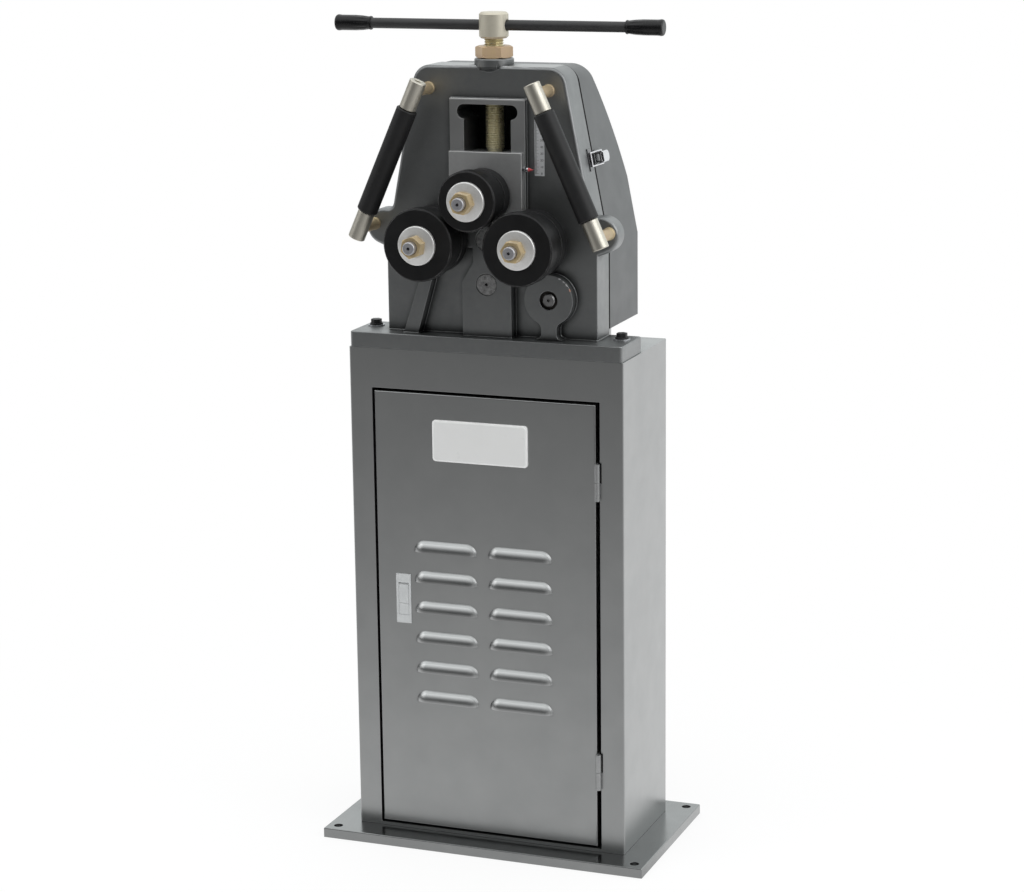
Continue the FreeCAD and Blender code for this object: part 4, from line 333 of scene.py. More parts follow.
@dataclass(frozen=True)
class Finish:
    """One surface finish of the ring roller."""

    name: str
    slot: str
    colour: Colour
    tint: Colour  # second colour, in slow patches
    metallic: float
    rough: Pair
    wear: Wear | None
    texture: Point  # scale of the grain, scale of the drift, height of the relief
    marks: Marks = Marks.GRAIN
    stretch: Point = (1.0, 1.0, 1.0)
    coat: float = 0.0
    coat_rough: float = 0.2
    specular: float = 0.5
    patches: tuple[Patch, ...] = ()
    # Painted shade in hollow corners: how much shows, and how far it reaches in millimetres.
    dirt: float = 0.0
    dirt_reach: float = 14.0

    def material(self) -> Material:
        """Build the material once.

        Returns:
            The material.
        """
        if self.name in bpy.data.materials:
            return bpy.data.materials[self.name]
        made = bpy.data.materials.new(self.name)
        made.use_nodes = True
        shader = made.node_tree.nodes["Principled BSDF"]
        w = Wiring(made.node_tree)
        fine, slow, relief = self.texture
        grain = w.group("surface_grain", Grain_Scale=fine, Stretch=self.stretch, Drift_Scale=slow)
        colour = w.mix(grain["Drift"], self.colour, self.tint)
        height = grain["Height"]
        if self.marks is Marks.TURNED:
            height = w.group("turning_marks")["Height"]
            colour = w.mix(w.span(height, 0.35, 0.85, 0.0, 0.35), colour, self.wear.colour)
        if self.wear:
            edge = w.group("edge_wear", Radius=self.wear.radius * MM)["Mask"]
            colour = w.mix(w.mul(edge, self.wear.share), colour, self.wear.colour)
        for patch in self.patches:
            colour = w.mix(patch.mask(w), colour, patch.colour)
        # Painted shade: hollow corners are darkened towards near black.
        if self.dirt > 0:
            hollow = w.group("corner_dirt", Reach=self.dirt_reach * MM)["Mask"]
            colour = w.mix(w.mul(hollow, self.dirt), colour, SHADE_AND_EDGE_BLACK)
        uneven = w.math("ADD", w.mul(grain["Drift"], 0.6), w.mul(grain["Grain"], 0.4))
        bump = w.add("Bump", out="node")
        w.fill(bump, Strength=min(1.0, relief * 8.0), Distance=relief * MM, Height=height)
        w.fill(shader, Base_Color=colour, Roughness=w.span(uneven, 0.1, 0.9, *self.rough),
               Normal=bump.outputs[0], Metallic=self.metallic, Specular_IOR_Level=self.specular,
               Coat_Weight=self.coat, Coat_Roughness=self.coat_rough)
        return made


# Finishes that set a share for hollow corners get painted shade there.
STAND_PAINT = Finish(
    "stand_paint", "paint", (0.42, 0.428, 0.427), (0.375, 0.383, 0.384), 1.0, (0.27, 0.36),
    Wear((0.66, 0.67, 0.67), 0.35, 1.2), (2600.0, 3.2, 0.012), dirt=0.5, dirt_reach=5.0)
# Painted light: the louvres' hoods are painted lighter than the sheet, most where they stand out.
DOOR_PAINT = replace(STAND_PAINT, name="door_paint",
                     patches=(Patch((-130.0, -116.0, 220.0), (120.0, -107.6, 500.0), (0.62, 0.63, 0.63)),
                              Patch((-130.0, -107.6, 220.0), (120.0, -105.4, 500.0), (0.5, 0.51, 0.51))))
BASE_PAINT = Finish(
    "base_paint", "paint", (0.33, 0.337, 0.337), (0.28, 0.287, 0.287), 1.0, (0.19, 0.27),
    Wear((0.6, 0.6, 0.6), 0.35, 1.2), (2600.0, 5.0, 0.008))
CHIP = 1.6  # half width of a chip in the pinion boss's rim
BOSS_CHIPS = tuple(Patch((x - CHIP, -88.0, z - CHIP), (x + CHIP, -84.5, z + CHIP), colour)
                   for x, z, colour in ((118.5, 917.0, (0.75, 0.75, 0.75)), (125.0, 912.4, (0.6, 0.6, 0.6)),
                                        (129.9, 907.6, (0.8, 0.8, 0.8)), (135.2, 900.0, (0.75, 0.42, 0.3))))
CAST_PATCHES = (
    Patch((-61.5, -77.0, 999.0), (61.5, -74.8, 1183.4), (0.48, 0.485, 0.485)),  # slide rails
    Patch((-61.5, -77.0, 1180.9), (61.5, -70.0, 1183.6), (0.95, 0.95, 0.95)),  # head of the rails: rubbed bare, and painted near white as the highlight on its lit top edge
    Patch((-240.0, -15.6, 824.0), (240.0, -12.0, 1240.0), SHADE_AND_EDGE_BLACK),  # painted shade in the seam to the cover
    Patch((-33.0, -73.5, 1205.0), (33.0, -68.3, 1229.5), (0.13, 0.134, 0.135)),  # painted shadow on the front of the top boss
    Patch((-240.0, -65.0, 1230.4), (240.0, -15.8, 1231.4), (0.45, 0.456, 0.457)),  # top face, painted lighter as lit from above
)
CAST_PAINT = Finish(
    "casting_paint", "paint", (0.305, 0.313, 0.315), (0.245, 0.252, 0.255), 0.97, (0.36, 0.46),
    Wear((0.62, 0.63, 0.64), 0.45, 1.2), (620.0, 9.0, 0.06), patches=CAST_PATCHES + BOSS_CHIPS, dirt=0.9,
    dirt_reach=14.0)
COVER_PAINT = Finish(
    "cover_paint", "paint", (0.165, 0.17, 0.172), (0.135, 0.14, 0.143), 0.7, (0.38, 0.48),
    Wear((0.3, 0.31, 0.31), 0.3, 1.2), (1800.0, 4.0, 0.015),
    # Painted shade in the seam to the casting.
    patches=(Patch((-240.0, -11.5, 824.0), (240.0, -9.6, 1240.0), SHADE_AND_EDGE_BLACK),))
SLIDE_IRON = Finish(
    "slide_iron", "machined", (0.56, 0.565, 0.565), (0.46, 0.465, 0.465), 0.76, (0.3, 0.4),
    Wear((0.9, 0.9, 0.9), 0.9, 1.2), (500.0, 14.0, 0.02), stretch=(1.0, 1.0, 0.12))
HIDDEN_IRON = Finish(
    "gear_steel", "machined", (0.33, 0.33, 0.335), (0.25, 0.25, 0.255), 1.0, (0.35, 0.5),
    Wear((0.6, 0.6, 0.6), 0.4, 1.0), (700.0, 20.0, 0.02))
ROLL_BLACK = Finish(
    "roll_black", "blackened", (0.0025, 0.0025, 0.003), (0.006, 0.006, 0.0065), 0.0, (0.36, 0.54),
    Wear((0.45, 0.45, 0.45), 1.0, 1.1), (1400.0, 26.0, 0.04), specular=0.35)
NOSE_STEEL = Finish(
    "nose_steel", "blackened", (0.56, 0.56, 0.585), (0.40, 0.40, 0.42), 0.85, (0.3, 0.45),
    Wear((0.9, 0.9, 0.92), 0.9, 0.9), (900.0, 60.0, 0.02), dirt=0.9, dirt_reach=3.0)
AXLE_STEEL = Finish(
    "axle_steel", "blackened", (0.40, 0.40, 0.40), (0.24, 0.24, 0.24), 1.0, (0.36, 0.5),
    Wear((0.7, 0.7, 0.7), 0.6, 0.8), (700.0, 150.0, 0.02))
DISC_STEEL = Finish(
    "disc_steel", "blackened", (0.58, 0.58, 0.58), (0.13, 0.13, 0.13), 0.92, (0.36, 0.5),
    Wear(SHADE_AND_EDGE_BLACK, 1.0, 2.2), (500.0, 160.0, 0.03))
BAR_BLACK = Finish(
    "bar_black", "blackened", (0.017, 0.017, 0.0175), (0.026, 0.026, 0.027), 0.0, (0.40, 0.52),
    Wear((0.12, 0.12, 0.12), 0.3, 0.8), (900.0, 18.0, 0.03))
SLEEVE_BLACK = Finish(
    "sleeve_black", "blackened", (0.006, 0.006, 0.0065), (0.010, 0.010, 0.0105), 0.0, (0.44, 0.56),
    Wear((0.04, 0.04, 0.04), 0.3, 0.8), (1500.0, 20.0, 0.03), specular=0.4)
GRIP_RUBBER = Finish(
    "grip_rubber", "rubber", (0.004, 0.004, 0.0045), (0.007, 0.007, 0.0075), 0.0, (0.22, 0.32),
    Wear((0.02, 0.02, 0.02), 0.2, 1.0), (1400.0, 40.0, 0.02), specular=0.4)
WASHER_STEEL = Finish(
    "washer_steel", "bright", (0.86, 0.855, 0.845), (0.70, 0.695, 0.68), 0.72, (0.26, 0.38),
    Wear((0.97, 0.97, 0.97), 1.0, 1.4), (900.0, 60.0, 0.012), marks=Marks.TURNED)
NICKEL = Finish(
    "satin_nickel", "nickel", (0.66, 0.63, 0.55), (0.58, 0.55, 0.475), 1.0, (0.38, 0.5),
    Wear((0.8, 0.78, 0.72), 0.5, 0.8), (900.0, 40.0, 0.006), marks=Marks.TURNED)
HUB_NICKEL = Finish(
    "hub_nickel", "nickel", (0.61, 0.575, 0.48), (0.55, 0.515, 0.425), 0.62, (0.42, 0.52),
    Wear((0.8, 0.78, 0.72), 0.4, 0.8), (1200.0, 40.0, 0.008), stretch=(1.0, 1.0, 6.0))
ZINC = Finish(
    "yellow_zinc", "zinc", (0.64, 0.50, 0.27), (0.56, 0.43, 0.26), 0.72, (0.26, 0.4),
    Wear((0.98, 0.90, 0.68), 1.0, 1.0), (700.0, 70.0, 0.01), dirt=0.8, dirt_reach=3.0)
LOCK_ZINC = Finish(
    "lock_nut_zinc", "zinc", (0.54, 0.405, 0.23), (0.52, 0.36, 0.25), 0.35, (0.34, 0.46),
    Wear((0.8, 0.7, 0.5), 0.5, 0.8), (700.0, 30.0, 0.01))
STUD_ZINC = Finish(
    "stud_zinc", "zinc", (0.52, 0.44, 0.25), (0.47, 0.34, 0.24), 0.6, (0.36, 0.48),
    Wear((0.75, 0.62, 0.42), 0.5, 0.7), (700.0, 20.0, 0.012))
THREAD_ZINC = Finish(
    "thread_zinc", "zinc", (0.78, 0.72, 0.50), (0.66, 0.60, 0.41), 0.85, (0.28, 0.4),
    Wear((0.9, 0.85, 0.68), 0.6, 0.5), (900.0, 50.0, 0.01))
BLACK_BOLT = Finish(
    "bolt_black", "blackened", (0.02, 0.02, 0.021), (0.035, 0.035, 0.036), 0.6, (0.35, 0.5),
    Wear((0.3, 0.3, 0.3), 0.5, 0.6), (1200.0, 70.0, 0.02))
WASHER_ZINC = Finish(
    "washer_zinc", "bright", (0.6, 0.61, 0.63), (0.5, 0.51, 0.53), 1.0, (0.3, 0.45),
    Wear((0.8, 0.8, 0.8), 0.4, 0.6), (900.0, 80.0, 0.01))
BRONZE = Finish(
    "bush_bronze", "bronze", (0.42, 0.27, 0.12), (0.33, 0.2, 0.09), 1.0, (0.32, 0.45),
    Wear((0.6, 0.42, 0.2), 0.5, 0.8), (900.0, 50.0, 0.01),
    patches=(Patch((80.0, -90.0, 862.0), (120.0, -76.0, 903.0), (0.04, 0.037, 0.034)),))
SCALE_PLATE = Finish(
    "scale_plate", "scale", (0.66, 0.67, 0.68), (0.58, 0.59, 0.60), 0.5, (0.34, 0.44),
    Wear((0.95, 0.95, 0.95), 0.9, 0.5), (1400.0, 60.0, 0.006))
SCALE_INK = Finish(
    "scale_ink", "scale", (0.01, 0.01, 0.011), (0.02, 0.02, 0.021), 0.0, (0.4, 0.5), None,
    (1400.0, 80.0, 0.004))
CHROME = Finish(
    "latch_chrome", "chrome", (0.80, 0.80, 0.82), (0.72, 0.72, 0.74), 1.0, (0.08, 0.2),
    Wear((0.9, 0.9, 0.9), 0.4, 0.4), (900.0, 90.0, 0.004), dirt=0.9, dirt_reach=5.0)
DARK_CHROME = Finish(
    "latch_dark_chrome", "chrome", (0.24, 0.24, 0.245), (0.16, 0.16, 0.165), 1.0, (0.12, 0.24),
    Wear((0.85, 0.85, 0.85), 0.7, 0.5), (900.0, 90.0, 0.004), dirt=0.9, dirt_reach=4.0)
LATCH_ALLOY = Finish(
    "door_latch_alloy", "bright", (0.68, 0.695, 0.70), (0.61, 0.625, 0.63), 0.35, (0.3, 0.42),
    Wear((0.85, 0.85, 0.85), 0.5, 0.6), (1400.0, 50.0, 0.012), dirt=0.85, dirt_reach=3.0)
HINGE_PAINT = Finish(
    "hinge_paint", "paint", (0.44, 0.447, 0.447), (0.38, 0.387, 0.39), 0.85, (0.32, 0.42),
    Wear((0.7, 0.7, 0.7), 0.6, 0.6), (1600.0, 40.0, 0.012), dirt=0.6, dirt_reach=3.0)
POINTER_RED = Finish(
    "pointer_red", "pointer", (0.42, 0.06, 0.07), (0.36, 0.05, 0.055), 0.0, (0.4, 0.5),
    Wear((0.45, 0.3, 0.28), 0.3, 0.3), (1200.0, 90.0, 0.01))
PLATE_PALE = Finish(
    "bare_plate", "scale", (0.70, 0.70, 0.695), (0.685, 0.685, 0.68), 0.0, (0.26, 0.3),
    Wear((0.85, 0.85, 0.85), 0.2, 0.6), (2200.0, 12.0, 0.003), coat=0.4, coat_rough=0.12)
PLATE_RIM = Finish(
    "plate_rim", "scale", (0.83, 0.83, 0.825), (0.80, 0.80, 0.795), 0.0, (0.2, 0.28),
    Wear((0.95, 0.95, 0.95), 0.8, 1.4), (1500.0, 50.0, 0.003), coat=0.6, coat_rough=0.1)


# ---- Mesh helpers ----
def finish_mesh(bm: BMesh, name: str, outward: bool = True) -> Mesh:
    """Turn a working mesh into a smooth-shaded one.

    Args:
        bm: the working mesh, freed here.
        name: the new mesh's name.
        outward: recalculate the faces' directions.

    Returns:
        The mesh, with sharp edges marked by angle.
    """
    if outward:
        bmesh.ops.recalc_face_normals(bm, faces=bm.faces)
    mesh = bpy.data.meshes.new(name)
    bm.to_mesh(mesh)
    bm.free()
    shade(mesh)
    return mesh


def new_object(name: str, data: bpy.types.ID) -> Object:
    """Object with the given data, linked to the scene.

    Args:
        name: the object's name.
        data: its mesh, lamp or camera.

    Returns:
        The object.
    """
    obj = bpy.data.objects.new(name, data)
    bpy.context.scene.collection.objects.link(obj)
    return obj


def evaluated(obj: Object) -> Mesh:
    """Plain mesh of an object with its modifiers.

    Args:
        obj: the object, which stays as it is.

    Returns:
        The new mesh.
    """
    bpy.context.view_layer.update()
    graph = bpy.context.evaluated_depsgraph_get()
    return bpy.data.meshes.new_from_object(obj.evaluated_get(graph))


def shade(mesh: Mesh) -> None:
    """Shade a mesh smooth with its real edges sharp.

    Args:
        mesh: the mesh to shade.
    """
    stale = mesh.attributes.get("custom_normal")
    if stale is not None:
        mesh.attributes.remove(stale)
    mesh.polygons.foreach_set("use_smooth", [True] * len(mesh.polygons))
    mesh.set_sharp_from_angle(angle=SMOOTH_ANGLE)


def levelled(obj: Object) -> None:
    """Keep an object's flats evenly shaded beside their rounded edges.

    Args:
        obj: the object, whose mesh is replaced.
    """
    weighted = obj.modifiers.new("flats", "WEIGHTED_NORMAL")
    weighted.keep_sharp = True
    made = evaluated(obj)
    obj.modifiers.remove(weighted)
    old = obj.data
    obj.data = made
    bpy.data.meshes.remove(old)
    made.name = obj.name


def soften(points: Flat, radius: float, closed: bool) -> Flat:
    """Round the corners of a flat line.

    Args:
        points: the corners.
        radius: how far along each side the rounding starts, at most.
        closed: the last point joins the first.

    Returns:
        The new points.
    """
    made = []
    count = len(points)
    for i, here in enumerate(points):
        if not closed and i in (0, count - 1):
            made.append(here)
            continue
        p = Vector(here)
        back = Vector(points[i - 1]) - p
        ahead = Vector(points[(i + 1) % count]) - p
        reach = min(radius, back.length * SOFT_SHARE, ahead.length * SOFT_SHARE)
        start = p + back.normalized() * reach
        end = p + ahead.normalized() * reach
        for k in range(SOFT_STEPS + 1):
            t = k / SOFT_STEPS
            q = start * (1 - t) ** 2 + p * (2 * t * (1 - t)) + end * t * t
            made.append((q.x, q.y))
    return made


def stations(points: Flat, step: float) -> Flat:
    """Add points to a flat line so that no piece of it is longer than a step.

    Args:
        points: the corners of the line.
        step: the longest piece.

    Returns:
        The new points.
    """
    made = [points[0]]
    for first, second in zip(points, points[1:]):
        count = max(1, math.ceil(math.dist(first, second) / step))
        for k in range(1, count + 1):
            made.append(tuple(a + (b - a) * k / count for a, b in zip(first, second)))
    return made


def axis_frame(origin: Point, along: Point) -> Matrix:
    """Placement, in millimetres, whose Z runs along a direction from an origin."""
    turn = Vector(along).normalized().to_track_quat("Z", "Y").to_matrix().to_4x4()
    return Matrix.Translation(Vector(origin)) @ turn


def lathe(name: str, profile: Flat, origin: Point, along: Point, closed: bool = False,
          facets: int = ROUND) -> Mesh:
    """Turn a profile about an axis.

    Args:
        name: the mesh's name.
        profile: (radius, station) points; a radius of 0 closes the shape.
        origin: a point of the axis where the station is 0.
        along: the axis's direction.
        closed: the profile is a ring, so the piece is bored through.
        facets: number of facets round the axis.

    Returns:
        The mesh, with lathe marks' UV map.
    """
    place = axis_frame(origin, along)
    bm = bmesh.new()
    layer = bm.loops.layers.uv.new("turned")
    rings = []
    for radius, station in profile:
        if radius < 1e-6:
            rings.append([bm.verts.new(place @ Vector((0, 0, station)) * MM)])
            continue
        ring = []
        for i in range(facets):
            angle = 2 * math.pi * i / facets
            spot = Vector((radius * math.cos(angle), radius * math.sin(angle), station))
            ring.append(bm.verts.new(place @ spot * MM))
        rings.append(ring)
    pairs = list(zip(rings, rings[1:] + rings[:1] if closed else rings[1:]))
    run = 0.0
    for index, (first, second) in enumerate(pairs):
        a, b = profile[index], profile[(index + 1) % len(profile)]
        step = math.hypot(a[0] - b[0], a[1] - b[1]) * MM
        for i in range(facets):
            j = (i + 1) % facets
            corners = [(first, i, 0), (first, j, 1), (second, j, 1), (second, i, 0)]
            verts, marks = [], []
            for ring, k, u in corners:
                vert = ring[k % len(ring)]
                if vert in verts:
                    continue
                verts.append(vert)
                marks.append(((i + u) / facets, run + (step if ring is second else 0.0)))
            if len(verts) < 3:
                continue
            face = bm.faces.new(verts)
            for loop, mark in zip(face.loops, marks):
                loop[layer].uv = mark
        run += step
    return finish_mesh(bm, name)


def hexagon_nut(name: str, origin: Point, along: Point, flats: float, height: float, bore: float,
                turn: float, both: bool = True, facets: int = ROUND) -> Mesh:
    """Hexagon nut with its corners turned off in a cone.

    Args:
        name: the mesh's name.
        origin: the middle of its back face.
        along: the direction from back to front.
        flats: size across the flats.
        height: from back to front.
        bore: radius of the hole.
        turn: angle of the first flat, in degrees.
        both: the back is turned off too.
        facets: number of facets round the axis, a multiple of 12.

    Returns:
        The mesh.
    """
    half = flats / 2
    back_lead, lead_w, lead_deep = NUT_LEAD

    def reach(angle: float) -> float:
        """Outer radius of the hexagon at an angle."""
        off = (math.degrees(angle) - turn) % 60.0
        return half / math.cos(math.radians(min(off, 60.0 - off)))

    place = axis_frame(origin, along)
    bm = bmesh.new()
    columns = []
    for i in range(facets):
        angle = 2 * math.pi * i / facets + math.radians(turn)
        outer = reach(angle)
        drop = max(0.0, outer - half + NUT_FACE) * NUT_CONE
        low = drop if both else 0.0
        round_in = half - NUT_FACE
        line = [(bore + back_lead, 0.0), (round_in if both else outer, 0.0), (outer, max(low, 0.05)),
                (outer, height - drop), (round_in, height), (bore + lead_w, height),
                (bore, height - lead_deep), (bore, back_lead)]
        direction = Vector((math.cos(angle), math.sin(angle), 0.0))
        columns.append([bm.verts.new(place @ (direction * r + Vector((0, 0, z))) * MM) for r, z in line])
    for i in range(facets):
        first, second = columns[i], columns[(i + 1) % facets]
        for k in range(len(first)):
            m = (k + 1) % len(first)
            bm.faces.new((first[k], second[k], second[m], first[m]))
    return finish_mesh(bm, name)


def round_plate(name: str, low: Point, high: Point, corner: float, edge: float) -> Mesh:
    """Upright plate facing -Y with rounded corners and a softened front rim.

    Args:
        name: the mesh's name.
        low: lowest corner.
        high: highest corner.
        corner: radius of the four corners.
        edge: rounding of the front rim.

    Returns:
        The mesh.
    """
    bm = bmesh.new()
    loops = []
    for inset, y in ((0.0, high[1]), (0.0, low[1] + edge), (edge * 0.3, low[1] + edge * 0.3), (edge, low[1])):
        ring = []
        r = max(corner - inset, 0.3)
        for cx, cz, start in ((high[0], high[2], 0), (low[0], high[2], 90), (low[0], low[2], 180),
                              (high[0], low[2], 270)):
            mx = cx - math.copysign(corner, cx - (low[0] + high[0]) / 2)
            mz = cz - math.copysign(corner, cz - (low[2] + high[2]) / 2)
            for k in range(PLATE_CORNER_STEPS + 1):
                angle = math.radians(start + 90 * k / PLATE_CORNER_STEPS)
                spot = Vector((mx + r * math.cos(angle), y, mz + r * math.sin(angle)))
                ring.append(bm.verts.new(spot * MM))
        loops.append(ring)
    for first, second in zip(loops, loops[1:]):
        for i in range(len(first)):
            j = (i + 1) % len(first)
            bm.faces.new((first[i], first[j], second[j], second[i]))
    bm.faces.new(loops[0])
    bm.faces.new(loops[-1])
    return finish_mesh(bm, name)


def merged_copy(node: str, name: str) -> Mesh:
    """Copy of a frame node's mesh with its triangles joined and its flats made whole.

    Args:
        node: the frame's node.
        name: the copy's name.

    Returns:
        The copy.
    """
    bm = bmesh.new()
    bm.from_mesh(frame["nodes"][node].data)
    bmesh.ops.remove_doubles(bm, verts=bm.verts, dist=WELD)
    bmesh.ops.dissolve_degenerate(bm, edges=bm.edges, dist=WELD)
    bmesh.ops.dissolve_limit(
        bm, angle_limit=FLAT_ANGLE, use_dissolve_boundaries=False, verts=bm.verts, edges=bm.edges)
    return finish_mesh(bm, name, outward=False)


def everywhere(spot: Vector, outer: bool) -> float:
    """Full rounding at every edge."""
    return 1.0


def bevelled(mesh: Mesh, width: float, steps: int, share: Share) -> Mesh:
    """Round a mesh's real edges.

    Args:
        mesh: the mesh, replaced by the result.
        width: width of the rounding.
        steps: pieces across the rounding.
        share: part of the width that an edge gets, by its middle in millimetres and whether it is an
            outer edge.

    Returns:
        The new mesh.
    """
    bm = bmesh.new()
    bm.from_mesh(mesh)
    layer = bm.edges.layers.float.new("bevel_weight_edge")
    for edge in bm.edges:
        if edge.is_manifold and edge.calc_face_angle() > EDGE_ANGLE:
            edge[layer] = share((edge.verts[0].co + edge.verts[1].co) / (2 * MM), edge.is_convex)
    bm.to_mesh(mesh)
    bm.free()
    holder = new_object("holder", mesh)
    bevel = holder.modifiers.new("round", "BEVEL")
    bevel.width = width * MM
    bevel.segments = steps
    bevel.limit_method = "WEIGHT"
    bevel.use_clamp_overlap = False
    return baked(holder, mesh.name)


def baked(holder: Object, name: str) -> Mesh:
    """Plain mesh of an object with its modifiers, in place of the object.

    Args:
        holder: the object, which is removed.
        name: the mesh's name.

    Returns:
        The new mesh.
    """
    made = evaluated(holder)
    made.name = name
    old = holder.data
    bpy.data.objects.remove(holder)
    if isinstance(old, Mesh) and old.users == 0:
        bpy.data.meshes.remove(old)
    shade(made)
    return made


def joined(name: str, meshes: Iterable[Mesh]) -> Mesh:
    """One mesh from several.

    Args:
        name: the new mesh's name.
        meshes: the meshes, which are removed.

    Returns:
        The new mesh.
    """
    bm = bmesh.new()
    for mesh in meshes:
        bm.from_mesh(mesh)
        bpy.data.meshes.remove(mesh)
    return finish_mesh(bm, name, outward=False)


# ---- Geometry node trees ----
class GeometryTool:
    """A geometry node tree with named inputs, evaluated to a plain mesh."""

    name = "tool"
    inputs: Mapping[str, str] = {}

    def wire(self, w: Wiring, given: Sockets) -> NodeSocket:
        """Place the tree's nodes and hand back the geometry before its material."""
        raise NotImplementedError

    def tree(self) -> NodeTree:
        """Build the tree once.

        Returns:
            The tree.
        """
        if self.name in bpy.data.node_groups:
            return bpy.data.node_groups[self.name]
        tree = bpy.data.node_groups.new(self.name, "GeometryNodeTree")
        for label, kind in {"Geometry": "Geometry", **self.inputs, "Material": "Material"}.items():
            tree.interface.new_socket(label, in_out="INPUT", socket_type="NodeSocket" + kind)
        tree.interface.new_socket("Geometry", in_out="OUTPUT", socket_type="NodeSocketGeometry")
        w = Wiring(tree)
        given = w.add("NodeGroupInput", out="node").outputs
        real = w.add("GeometryNodeRealizeInstances", self.wire(w, given))
        dressed = w.add("GeometryNodeSetMaterial", real, None, given["Material"])
        w.add("NodeGroupOutput", dressed, out="node")
        return tree

    def mesh(self, name: str, finish: Finish, place: Matrix, base: Mesh | None = None,
             **values: float) -> Mesh:
        """Evaluate the tree.

        Args:
            name: the mesh's name.
            finish: the finish of the result.
            place: where it goes, in millimetres, or the frame that a base mesh is worked in.
            base: a mesh, already in its place, that the tree works on.
            values: the inputs by name, with _ for a space.

        Returns:
            The plain mesh.
        """
        tree = self.tree()
        placed = Matrix.Translation(place.translation * MM) @ place.to_3x3().to_4x4()
        if base is not None:
            base.transform(placed.inverted())
        holder = new_object("holder", base or bpy.data.meshes.new("empty"))
        modifier = holder.modifiers.new(self.name, "NODES")
        modifier.node_group = tree
        values = {key.replace("_", " "): value for key, value in values.items()}
        values["Material"] = finish.material()
        for item in tree.interface.items_tree:
            if item.item_type == "SOCKET" and item.in_out == "INPUT" and item.name in values:
                modifier[item.identifier] = values[item.name]
        made = baked(holder, name)
        made.transform(placed)
        made.update()
        return made


class ThreadTool(GeometryTool):
    """Outside thread: a tube whose radius follows a helix."""

    name = "outside_thread"
    inputs = {"Radius": "Float", "Depth": "Float", "Pitch": "Float", "Length": "Float", "Around": "Int",
              "Rows": "Int"}

    def wire(self, w: Wiring, given: Sockets) -> NodeSocket:
        """Bend a grid round the axis and cut the helix into it.

        Args:
            w: places the nodes.
            given: the tree's inputs.

        Returns:
            The geometry's socket.
        """
        grid = w.add("GeometryNodeMeshGrid", 1.0, 1.0, given["Around"], given["Rows"])
        place = w.add("GeometryNodeInputPosition")
        split = w.add("SeparateXYZ", place, out="node")
        turn = w.math("ADD", split.outputs[0], 0.5)
        run = w.mul(w.math("ADD", split.outputs[1], 0.5), given["Length"])
        phase = w.math("FRACT", w.math("SUBTRACT", w.math("DIVIDE", run, given["Pitch"]), turn))
        vee = w.math("ABSOLUTE", w.math("SUBTRACT", w.mul(phase, 2.0), 1.0))
        cut = w.span(vee, 0.12, 0.82, 0.0, 1.0)
        radius = w.math("SUBTRACT", given["Radius"], w.mul(cut, given["Depth"]))
        angle = w.mul(turn, 2 * math.pi)
        x = w.mul(radius, w.math("COSINE", angle))
        y = w.mul(radius, w.math("SINE", angle))
        bent = w.add("CombineXYZ", x, y, run)
        moved = w.add("GeometryNodeSetPosition", grid, None, bent)
        return w.add("GeometryNodeMergeByDistance", moved)


class TickTool(GeometryTool):
    """Row of scale marks: every fifth is longer and every tenth longest."""

    name = "scale_marks"
    inputs = {"Marks": "Int", "Step": "Float", "Width": "Float", "Short": "Float", "Height": "Float"}

    def wire(self, w: Wiring, given: Sockets) -> NodeSocket:
        """Stand one bar on each point of a line.

        Args:
            w: places the nodes.
            given: the tree's inputs.

        Returns:
            The geometry's socket.
        """
        step = w.add("CombineXYZ", 0.0, 0.0, given["Step"])
        line = w.add("GeometryNodeMeshLine", given["Marks"], None, None, step, mode="OFFSET")
        size = w.add("CombineXYZ", given["Short"], given["Height"], given["Width"])
        bar = w.add("GeometryNodeMeshCube", size)
        half = w.add("CombineXYZ", w.mul(given["Short"], 0.5), 0.0, 0.0)
        shifted = w.add("GeometryNodeSetPosition", bar, None, None, half)
        index = w.add("GeometryNodeInputIndex")
        fifth = w.math("COMPARE", w.math("MODULO", index, 5.0), 0.0, 0.1)
        tenth = w.math("COMPARE", w.math("MODULO", index, 10.0), 0.0, 0.1)
        long = w.math("ADD", w.math("ADD", 1.0, w.mul(fifth, 0.6)), w.mul(tenth, 0.5))
        stretch = w.add("CombineXYZ", long, 1.0, 1.0)
        return w.add("GeometryNodeInstanceOnPoints", line, None, shifted, None, None, None, stretch)


class PetalTool(GeometryTool):
    """Shallow flutes round the tapered part of a turned shell."""

    name = "grip_petals"
    inputs = {"Count": "Int", "Depth": "Float", "Start": "Float", "Full": "Float", "Fade": "Float"}

    def wire(self, w: Wiring, given: Sockets) -> NodeSocket:
        """Push the shell in between the petals, most where they are full.

        Args:
            w: places the nodes.
            given: the tree's inputs.

        Returns:
            The geometry's socket.
        """
        place = w.add("GeometryNodeInputPosition")
        spot = w.add("SeparateXYZ", place, out="node")
        angle = w.math("ARCTAN2", spot.outputs[1], spot.outputs[0])
        wave = w.math("COSINE", w.mul(angle, given["Count"]))
        hollow = w.math("POWER", w.math("MULTIPLY_ADD", wave, 0.5, 0.5), 1.6)
        rise = w.span(spot.outputs[2], given["Start"], given["Full"], 0.0, 1.0)
        fall = w.span(spot.outputs[2], given["Full"], given["Fade"], 1.0, 0.0)
        share = w.mul(hollow, w.mul(rise, fall))
        push = w.mul(w.mul(share, given["Depth"]), -1.0)
        radius = w.math(
            "SQRT",
            w.math("ADD", w.mul(spot.outputs[0], spot.outputs[0]), w.mul(spot.outputs[1], spot.outputs[1])))
        scale = w.math("DIVIDE", push, w.math("MAXIMUM", radius, 1e-5))
        shift = w.add(
            "CombineXYZ", w.mul(spot.outputs[0], scale), w.mul(spot.outputs[1], scale), 0.0)
        return w.add("GeometryNodeSetPosition", given["Geometry"], None, None, shift)


THREAD = ThreadTool()
TICKS = TickTool()
PETALS = PetalTool()


